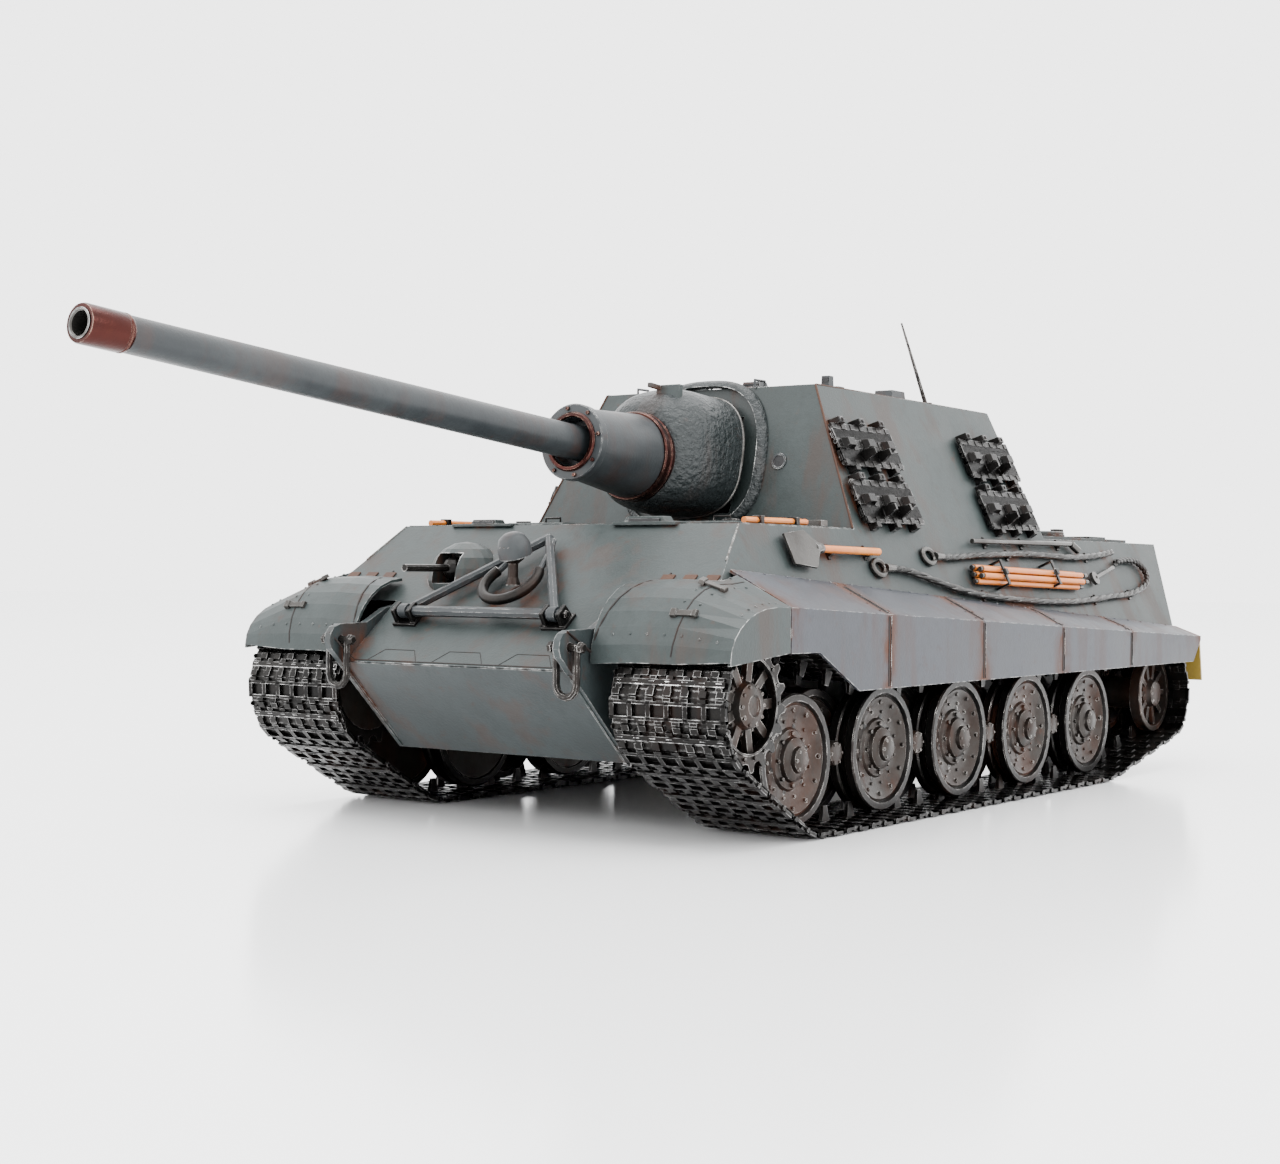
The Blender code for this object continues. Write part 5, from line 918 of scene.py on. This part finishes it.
dark, spots, clasps, tabs = Shape(), [], Shape(), Shape()
for side in (-1, 1):
    line = [(side * 0.101, -0.108, 0.12), (side * 0.0985, -0.123, 0.12), (side * 0.0965, -0.138, 0.12)]
    seam(dark, line, DOWN, 0.0009, 0.00012, 8)
    seam(dark, [(side * 0.0965, -0.16, 0.085), (side * 0.0945, -0.16, 0.069)], BACK, 0.0009, 0.00012, 8)
    for share in (0.1, 0.3, 0.5, 0.7, 0.9):
        for dx in (-0.0034, 0.0034):
            p = Vector(line[0]).lerp(Vector(line[2]), share) + Vector((side * dx, 0, 0))
            spots.append(snap(p, DOWN, 0.06))
    for k in range(7):
        spots.append(snap((side * (0.068 + k * 0.0075), -0.143, 0.12), DOWN, 0.06))
        spots.append(snap((side * 0.1165, -0.133 + k * 0.0045, 0.12), DOWN, 0.06))
    for p in ((side * 0.0985, -0.124, 0.12), (side * 0.0965, -0.139, 0.12)):
        hit, n = snap(p, DOWN, 0.06)
        at = place(hit, n, ACROSS)
        clasps.slab(0.005, 0.0012, -0.0003, 0.001, at, 0.9)
        clasps.box((-0.0058, -0.0018, -0.0003), (-0.003, 0.0018, 0.0015), at, 0.8)
        clasps.box((0.0034, -0.0016, -0.0003), (0.0056, 0.0016, 0.0013), at, 0.8)
    for x in (0.07, 0.08, 0.09):
        hit, n = snap((side * x, -0.113, 0.12), DOWN, 0.06)
        tabs.slab(0.0028, 0.003, -0.0003, 0.0006, place(hit, n, ACROSS))
dark.put("mudguard_seams", "chassis", SEAM_DARK, "grey_paint", smooth=60)
rivets("mudguard_rivets", spots, 0.0006, HULL_PAINT)
clasps.put("mudguard_clasps", "chassis", TOOL_STEEL, "dark_steel", bevel=0.0002)
tabs.put("mudguard_tabs", "chassis", RUST, "grey_paint", bevel=0.0002)

# ---------------------------------------------------------------- stowage on the sides
pitch = 0.0094
spare_kinds = [[merged(s) for s in link_parts(pitch, horned)] for horned in (True, False)]
spare, spare_wear, hooks = Shape(), Shape(), Shape()
for side in (-1, 1):
    n, up = side_normal(side), side_up(side)
    for y_mid, z_mid in ((0.034, 0.1515), (0.032, 0.1275), (0.15, 0.151), (0.148, 0.127)):
        for row in (-0.5, 0.5):
            centre = side_point(side, y_mid, z_mid, 0.0036) + up * row * pitch * 1.04
            here = (tuple(centre), ((0, 1, 0), tuple(up), tuple(n)))
            for target, (v, f) in zip((spare, spare_wear), spare_kinds[0 if row < 0 else 1]):
                target.add(v, f, here)
        for dy in (-0.017, 0.0, 0.017):
            base = side_point(side, y_mid + dy, z_mid, 0.0)
            at = place(base, n, up)
            hooks.slab(0.0125, 0.0016, -0.0004, 0.0012, at)
            hooks.box((0.0092, -0.003, -0.0004), (0.013, 0.003, 0.0052), at, 0.75)
            hooks.box((-0.0125, -0.0024, -0.0004), (-0.0095, 0.0024, 0.004), at, 0.75)
            hooks.dome(0.0014, 0.0012, place(base + n * 0.0046 + up * 0.011, n), 8)
            hooks.box((-0.002, -0.004, 0.003), (0.003, 0.004, 0.0058), at, 0.7)
spare.put("spare_links", "chassis", TRACK_METAL, "track_steel")
spare_wear.put("spare_link_wear", "chassis", GROUSER, "track_steel")
hooks.put("spare_link_hooks", "chassis", TRACK_METAL, "track_steel", bevel=0.0002)

STRAND_OFFSET, STRAND_R = 0.00075, 0.00095
LOWER_CABLE = ((0.01, 0.1), (0.03, 0.0985), (0.07, 0.0905), (0.11, 0.0868), (0.15, 0.085),
               (0.19, 0.085), (0.225, 0.0868), (0.25, 0.088), (0.274, 0.092), (0.283, 0.098),
               (0.277, 0.104), (0.264, 0.1052), (0.25, 0.104))
UPPER_CABLE = ((0.0575, 0.1052), (0.075, 0.105), (0.105, 0.1062), (0.15, 0.107), (0.2, 0.106),
               (0.23, 0.1072), (0.25, 0.109))
TOP_TOOL_X = 0.08
wood, iron, cable, clamps = Shape(), Shape(), Shape(), Shape()


def flat_bar(shape, side, y0, z0, y1, z1, out, radius):
    shape.tube([side_point(side, y0 + (y1 - y0) * k / 6, z0 + (z1 - z0) * k / 6, out) for k in range(7)],
               radius, 12)


def clamp(side, y, z, size, turn=0.0):
    at = side_place(side, y, z, 0.0, turn)
    clamps.box((-0.0012, -size, -0.0003), (0.0012, size, 0.0008), at)
    clamps.box((-0.0015, -size * 0.7, 0.0004), (0.0015, size * 0.7, size * 0.9), at, 0.8)
    clamps.dome(0.0008, 0.0007, place(side_point(side, y, z + size * 0.8, 0.001), side_normal(side)), 8)


for side in (-1, 1):
    flat_bar(wood, side, -0.042, 0.107, 0.0065, 0.1062, 0.003, 0.0016)
    at = side_place(side, -0.052, 0.107, 0.0018)
    blade = [(-0.0095, -0.0065, 0.0), (0.006, -0.0082, 0.0), (0.0085, -0.0022, 0.0008),
             (0.0125, -0.0012, 0.001), (0.0125, 0.0012, 0.001), (0.0085, 0.0022, 0.0008),
             (0.006, 0.0082, 0.0), (-0.0095, 0.0065, 0.0)]
    n = len(blade)
    verts = blade + [(x, y, z + 0.0011 + (0.0012 if abs(y) < 0.003 else 0)) for x, y, z in blade]
    faces = [tuple(range(n))[::-1], tuple(range(n, 2 * n))]
    faces += [(k, (k + 1) % n, n + (k + 1) % n, n + k) for k in range(n)]
    iron.add(verts, faces, at)
    iron.tube([side_point(side, -0.044, 0.107, 0.003), side_point(side, -0.038, 0.1069, 0.003)],
              [0.0024, 0.0019], 12)
    for y in (-0.03, -0.001):
        clamp(side, y, 0.1066, 0.003)
    wood.tube([(side * TOP_TOOL_X, -0.076 + 0.009 * k, 0.1189) for k in range(6)], 0.0013, 10)
    iron.box((side * TOP_TOOL_X - 0.004, -0.024, 0.1176), (side * TOP_TOOL_X + 0.003, -0.019, 0.12))
    for y in (-0.066, -0.04):
        clamps.box((side * TOP_TOOL_X - 0.0022, y - 0.0012, 0.117),
                   (side * TOP_TOOL_X + 0.0022, y + 0.0012, 0.1208))
    for row, (z, out) in enumerate(((0.0945, 0.0022), (0.0975, 0.0022), (0.1005, 0.0022),
                                    (0.096, 0.0046), (0.099, 0.0046))):
        flat_bar(wood, side, 0.086 + 0.0012 * row, z, 0.19 + 0.001 * row, z - 0.003, out, 0.0014)
        for y, end_z in ((0.084 + 0.0012 * row, z), (0.1915 + 0.0012 * row, z - 0.003)):
            flat_bar(iron, side, y, end_z, y + 0.003, end_z, out, 0.0011)
    for y in (0.108, 0.162):
        at = side_place(side, y, 0.0968, 0.0)
        clamps.box((-0.001, -0.0062, -0.0002), (0.001, -0.0052, 0.0068), at)
        clamps.box((-0.001, 0.0052, -0.0002), (0.001, 0.0062, 0.0068), at)
        clamps.slab(0.001, 0.0062, 0.0062, 0.007, at)
        clamps.slab(0.0016, 0.0016, 0.0066, 0.008, at, 0.8)
    flat_bar(iron, side, 0.097, 0.1122, 0.203, 0.1122, 0.0026, 0.0012)
    flat_bar(iron, side, 0.203, 0.1122, 0.208, 0.109, 0.0026, 0.0018)
    for y in (0.112, 0.15, 0.19):
        clamp(side, y, 0.1122, 0.0026)
    flat_bar(iron, side, 0.216, 0.096, 0.242, 0.101, 0.0024, 0.0011)
    iron.disc(0.0034, 0.0018, side_place(side, 0.215, 0.0958, 0.0012), 12)
    for path in (LOWER_CABLE, UPPER_CABLE):
        points = []
        for i in range(len(path) - 1):
            p0, p1, p2, p3 = (Vector(path[max(0, min(len(path) - 1, i + d))]) for d in (-1, 0, 1, 2))
            for k in range(8):
                t = k / 8
                q = 0.5 * (2 * p1 + (p2 - p0) * t + (2 * p0 - 5 * p1 + 4 * p2 - p3) * t * t
                           + (3 * p1 - p0 - 3 * p2 + p3) * t ** 3)
                points.append(side_point(side, q.x, q.y, 0.002))
        points.append(side_point(side, *path[-1], 0.002))
        for strand in range(3):
            twist = []
            for i, p in enumerate(points):
                a = i * 0.9 + strand * math.tau / 3
                twist.append(p + side_normal(side) * (STRAND_OFFSET * math.cos(a))
                             + side_up(side) * (STRAND_OFFSET * math.sin(a)))
            cable.tube(twist, STRAND_R, 6)
        y, z = path[0]
        eye = side_place(side, y - 0.005, z + 0.0004, 0.0012)
        ring = [(0.00476 * math.cos(math.tau * k / 16), 0.0034 * math.sin(math.tau * k / 16))
                for k in range(16)]
        iron.tube([Vector(eye[0]) + Vector(eye[1][0]) * a + Vector(eye[1][1]) * b for a, b in ring],
                  0.0012, 8, close=True)
        iron.tube([side_point(side, y - 0.001, z, 0.002), side_point(side, y + 0.006, z, 0.002)],
                  [0.002, 0.0016], 10)
    for y, z in ((0.09, 0.0885), (0.208, 0.0858), (0.13, 0.1066), (0.218, 0.1064), (0.252, 0.088)):
        clamp(side, y, z, 0.0024)
wood.put("tool_handles", "chassis", WOOD, "wood")
iron.put("tool_irons", "chassis", TOOL_STEEL, "wire_steel", bevel=0.0001)
cable.put("tow_cables", "chassis", CABLE, "wire_steel", smooth=60)
clamps.put("tool_clamps", "chassis", GUNMETAL, "dark_steel", bevel=0.0002)

# ---------------------------------------------------------------- casemate
# painted shade: the black disc at the sight on the front plate and the black slots on the roof boxes stand
# in for the dark inside the sight hole and vision slots
fit, hole_shade = Shape(), Shape()
sight_at = place((0.043, (0.146 - DECK_Z) * PLATE_RAKE, 0.146), PLATE_N)
hole_shade.disc(0.0027, 0.0003, sight_at, 20)
fit.lathe([(0.0027, -0.0003), (0.0036, -0.0003), (0.0036, 0.0006), (0.0027, 0.0006), (0.0027, -0.0003)],
          sight_at, 24)


def roof_point(x, y):
    return snap((x, y, 0.22), DOWN, 0.03)


def on_roof(x, y, width, depth, height):
    hit, n = roof_point(x, y)
    at = place(hit, n, ACROSS)
    fit.box((-width / 2, -depth / 2, -0.0004), (width / 2, depth / 2, height), at, 0.9)
    return at


for x, y in ((-0.015, 0.027), (0.018, 0.027), (0.038, 0.06)):
    at = on_roof(x, y, 0.015, 0.01, 0.0012)
    fit.slab(0.005, 0.0034, 0.0008, 0.0034, at, 0.85)
    hole_shade.box((-0.0038, -0.0037, 0.0012), (0.0038, -0.0028, 0.0024), at)
for x, y in ((0.042, 0.105), (-0.042, 0.125)):
    on_roof(x, y, 0.01, 0.013, 0.0052)
at = on_roof(0.046, 0.042, 0.0042, 0.0042, 0.0062)
hole_shade.box((-0.0016, -0.0024, 0.0036), (0.0016, -0.0018, 0.0054), at)
for x, y in ((0.038, 0.16), (-0.038, 0.16), (0.025, 0.02), (-0.045, 0.03)):
    hit, n = roof_point(x, y)
    handle(fit, hit, (0, 0.004, 0), UP, 0.0032, 0.0006, sink=0.0004)
vent_at = place(*roof_point(0.008, 0.12))
fit.lathe([(0.0, -0.0004), (0.015, -0.0004), (0.015, 0.001), (0.0142, 0.0016), (0.0, 0.0016)],
          vent_at, 48)
fit.lathe([(0.0, 0.0), (0.007, 0.0), (0.007, 0.0026), (0.0058, 0.0038), (0.0, 0.0042)], vent_at, 32)
bolts(fit, 10, 0.0125, 0.0008, 0.0007, vent_at, 0.0016)
fit.put("roof_fittings", "chassis", GUN_PAINT, "grey_paint", bevel=0.0003)
hole_shade.put("sight_hole_shade", "chassis", BLACK, "black_plastic")
lid = Shape()
low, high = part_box("commander_hatch")
mid = (low + high) / 2
bolts(lid, 8, 0.012, 0.0007, 0.0006, ((mid.x, mid.y, low.z + 0.002), ((1, 0, 0), (0, 1, 0), (0, 0, 1))))
lid.put("commander_hatch_bolts", "commander_hatch", GUNMETAL, "dark_steel")

# ---------------------------------------------------------------- engine deck and rear
grille, dark = Shape(), Shape()


def deck_point(x, y):
    return snap((x, y, 0.16), DOWN, 0.03)


for x in (-0.044, 0.044):
    hit, n = deck_point(x, 0.248)
    at = place(hit, n, ACROSS)
    grille.lathe([(0.015, -0.0003), (0.019, -0.0003), (0.019, 0.0012), (0.018, 0.0018),
                  (0.015, 0.0018), (0.015, -0.0003)], at, 48)
    dark.disc(0.015, 0.0004, at, 40)
    grille.lathe([(0, 0), (0.0042, 0), (0.0042, 0.0024), (0.003, 0.0032), (0, 0.0034)], at, 24)
    for k in range(8):
        a = math.tau * k / 8
        out = Vector((math.cos(a), math.sin(a), 0))
        grille.box((0.003, -0.0007, 0.0004), (0.0155, 0.0007, 0.0015),
                   place(hit, n, out))
    for ring in (0.007, 0.011):
        grille.lathe([(ring, 0.0004), (ring + 0.0008, 0.0004), (ring + 0.0008, 0.0014), (ring, 0.0014),
                      (ring, 0.0004)], at, 32)
    for y in (0.21, 0.29):
        hit, n = deck_point(x, y)
        at = place(hit, n, ACROSS)
        w, d = 0.02, 0.0105
        dark.box((-w, -d, -0.0002), (w, d, 0.0003), at)
        for s in (-1, 1):
            grille.box((-w, s * d - 0.0009, -0.0003), (w, s * d + 0.0009, 0.0014), at)
            grille.box((s * w - 0.0009, -d, -0.0003), (s * w + 0.0009, d, 0.0014), at)
        for k in range(1, 12):
            slat = -w + 2 * w * k / 12
            grille.box((slat - 0.0004, -d, 0.0), (slat + 0.0004, d, 0.001), at)
hit, n = deck_point(0.0, 0.248)
at = place(hit, n, ACROSS)
grille.slab(0.018, 0.033, -0.0003, 0.0012, at)
for sx in (-1, 1):
    for k in range(5):
        spot = hit + n * 0.0012 + Vector((sx * 0.016, -0.028 + k * 0.014, 0))
        grille.dome(0.001, 0.0008, place(spot, n), 8)
for y in (-0.012, 0.012):
    grille.lathe([(0, 0.001), (0.0052, 0.001), (0.0052, 0.0026), (0.0044, 0.0034), (0, 0.0036)],
                 place(hit + Vector((0, y, 0)), n), 24)
grille.put("deck_grilles", "chassis", HULL_PAINT, "grey_paint", bevel=0.0002)
dark.put("grille_shadow", "chassis", BLACK, "black_plastic")

rear, rear_iron = Shape(), Shape()
for label, side in SIDES[::-1]:
    hit, n = snap((side * 0.056, 0.34, 0.1), AHEAD, 0.03)
    at = place(hit, n, ACROSS)
    rear.slab(0.0095, 0.006, -0.0004, 0.0022, at, 0.92)
    bolts(rear_iron, 4, 0.006, 0.0008, 0.0008, at, 0.0022)
    hit, n = snap((side * 0.05, 0.36, 0.056), AHEAD, 0.04)
    rear_iron.tube([hit + Vector((-0.004, 0, 0)), hit + n * 0.0055 + Vector((-0.004, 0, 0)),
                    hit + n * 0.0065, hit + n * 0.0055 + Vector((0.004, 0, 0)),
                    hit + Vector((0.004, 0, 0))], 0.0012, 10)
    name = "rear_door_" + label
    low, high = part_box(name)
    door = Shape()
    for z in (low.z + 0.006, high.z - 0.006):
        hit, n = snap((side * 0.018, 0.2, z), AHEAD, 0.02)
        door.slab(0.0026, 0.003, -0.0002, 0.0009, place(hit, n, ACROSS))
    hit, n = snap((side * 0.005, 0.2, (low.z + high.z) / 2), AHEAD, 0.02)
    handle(door, hit, (0, 0, 0.003), BACK, 0.002, 0.0005)
    door.put(name + "_trim", name, GUNMETAL, "dark_steel", bevel=0.0002)
hit, n = snap((0.0, 0.36, 0.085), AHEAD, 0.04)
at = place(hit, n, ACROSS)
rear.lathe([(0, -0.0004), (0.009, -0.0004), (0.009, 0.0016), (0.008, 0.0022), (0, 0.0022)], at, 32)
bolts(rear_iron, 8, 0.007, 0.0008, 0.0007, at, 0.002)
rear.put("rear_plates", "chassis", HULL_PAINT, "grey_paint", bevel=0.0003)
rear_iron.put("rear_irons", "chassis", GUNMETAL, "dark_steel")

# ---------------------------------------------------------------- small fittings at the front
for label, side in SIDES[::-1]:
    name = "tow_shackle_" + label
    low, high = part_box(name)
    nut = Shape()
    for s in (-1, 1):
        x = low.x + 0.0006 if s < 0 else high.x - 0.0006
        nut.lathe([(0, 0), (0.0021, 0), (0.0021, 0.0016), (0.0014, 0.0022), (0, 0.0022)],
                  place((x, (low.y + high.y) / 2, 0.0716), (s, 0, 0)), 6)
    nut.put(name + "_nuts", name, GUNMETAL, "wire_steel")
low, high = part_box("headlight")
lampshade = Shape()
lampshade.lathe([(0.0046, -0.003), (0.0066, -0.003), (0.0066, 0.001), (0.0052, 0.0044),
                 (0.003, 0.006), (0, 0.0064)],
                place(((low.x + high.x) / 2, (low.y + high.y) / 2 + 0.0006, high.z - 0.006),
                      (0, -0.35, 0.94)), 32)
lampshade.put("headlight_hood", "chassis", GUN_PAINT, "grey_paint")
saddle = Shape()
ring = []
for k in range(25):
    a = math.radians(150 + 240 * k / 24)
    ring.append(glacis(HEADLIGHT_X + SADDLE_R * math.cos(a), SADDLE_UP + SADDLE_R * math.sin(a), 0.0046))
saddle.tube(ring, 0.0021, 12)
saddle.put("lock_saddle", "travel_lock", GUNMETAL, "dark_steel")


# ---------------------------------------------------------------- finish on the CAD pieces
LOOKS = (("skirt", SKIRT_PAINT), ("mud_flap", OLIVE), ("suspension", WHEEL_STEEL),
         ("lower_hull", TUB_PAINT), ("control_board", BOARD), ("travel_lock", GUN_PAINT),
         (("gearbox", "battery", "speaker", "power_switch"), DULL_BLACK),
         (("exhaust", "gun_yoke", "bow_mg", "antenna", "track", "tow_shackle", "headlight"), GUNMETAL))
for name, part in NODES.items():
    look = next((paint for start, paint in LOOKS if name.startswith(start)), HULL_PAINT)
    part.data.materials.clear()
    part.data.materials.append(look)
    for face in part.data.polygons:
        face.material_index = 0
    part.data.shade_smooth()
    soft = 60 if name.startswith("mudguard") else 38
    part.data.set_sharp_from_angle(angle=math.radians(soft))

# ---------------------------------------------------------------- studio
floor = Shape().box((-6, -6, -0.02), (6, 6, 0.0))
mesh = bpy.data.meshes.new("floor")
mesh.from_pydata(np.concatenate(floor.verts).tolist(), [], floor.faces)
ground = bpy.data.objects.new("floor", mesh)
bpy.context.scene.collection.objects.link(ground)
pale = bpy.data.materials.new("pale_floor")
pale.use_nodes = True
shade = pale.node_tree.nodes["Principled BSDF"]
shade.inputs["Base Color"].default_value = (0.9, 0.905, 0.91, 1)
shade.inputs["Roughness"].default_value = 0.16
shade.inputs["Specular IOR Level"].default_value = 0.45
mesh.materials.append(pale)

world = bpy.data.worlds.new("studio")
world.use_nodes = True
world.node_tree.nodes["Background"].inputs["Color"].default_value = (1.0, 1.0, 1.0, 1)
world.node_tree.nodes["Background"].inputs["Strength"].default_value = 3.8
bpy.context.scene.world = world


def lamp(name, at, aim, size, power, tint=(1, 1, 1)):
    data = bpy.data.lights.new(name, "AREA")
    data.shape = "RECTANGLE"
    data.size, data.size_y = size
    data.energy = power
    data.color = tint
    made = bpy.data.objects.new(name, data)
    made.location = at
    made.rotation_euler = (Vector(aim) - Vector(at)).to_track_quat("-Z", "Y").to_euler()
    bpy.context.scene.collection.objects.link(made)


lamp("overhead", (0.0, -0.1, 1.5), (0, 0.05, 0), (1.2, 1.4), 26)
lamp("front_left", (-0.9, -1.5, 1.0), (0, -0.05, 0.08), (0.8, 0.8), 9)
lamp("side", (1.6, -0.1, 0.9), (0, 0.1, 0.06), (1.0, 0.7), 12)

# ---------------------------------------------------------------- camera
yaw, pitch, roll = math.radians(-36.05), math.radians(-0.3635), math.radians(0.37)
look = Vector((math.cos(pitch) * math.sin(yaw), math.cos(pitch) * math.cos(yaw), math.sin(pitch)))
right = Vector((math.cos(yaw), -math.sin(yaw), 0))
up = right.cross(look)
right, up = (right * math.cos(roll) + up * math.sin(roll), -right * math.sin(roll) + up * math.cos(roll))
lens = bpy.data.cameras.new("camera")
lens.sensor_width = 36.0
lens.sensor_fit = "HORIZONTAL"
lens.lens = 57.4
lens.clip_start = 0.01
lens.clip_end = 50
camera = bpy.data.objects.new("camera", lens)
turn = Matrix((right, up, -look)).transposed()
camera.matrix_world = Matrix.Translation((0.5067, -0.7295, 0.0998)) @ turn.to_4x4()
bpy.context.scene.collection.objects.link(camera)
bpy.context.scene.camera = camera
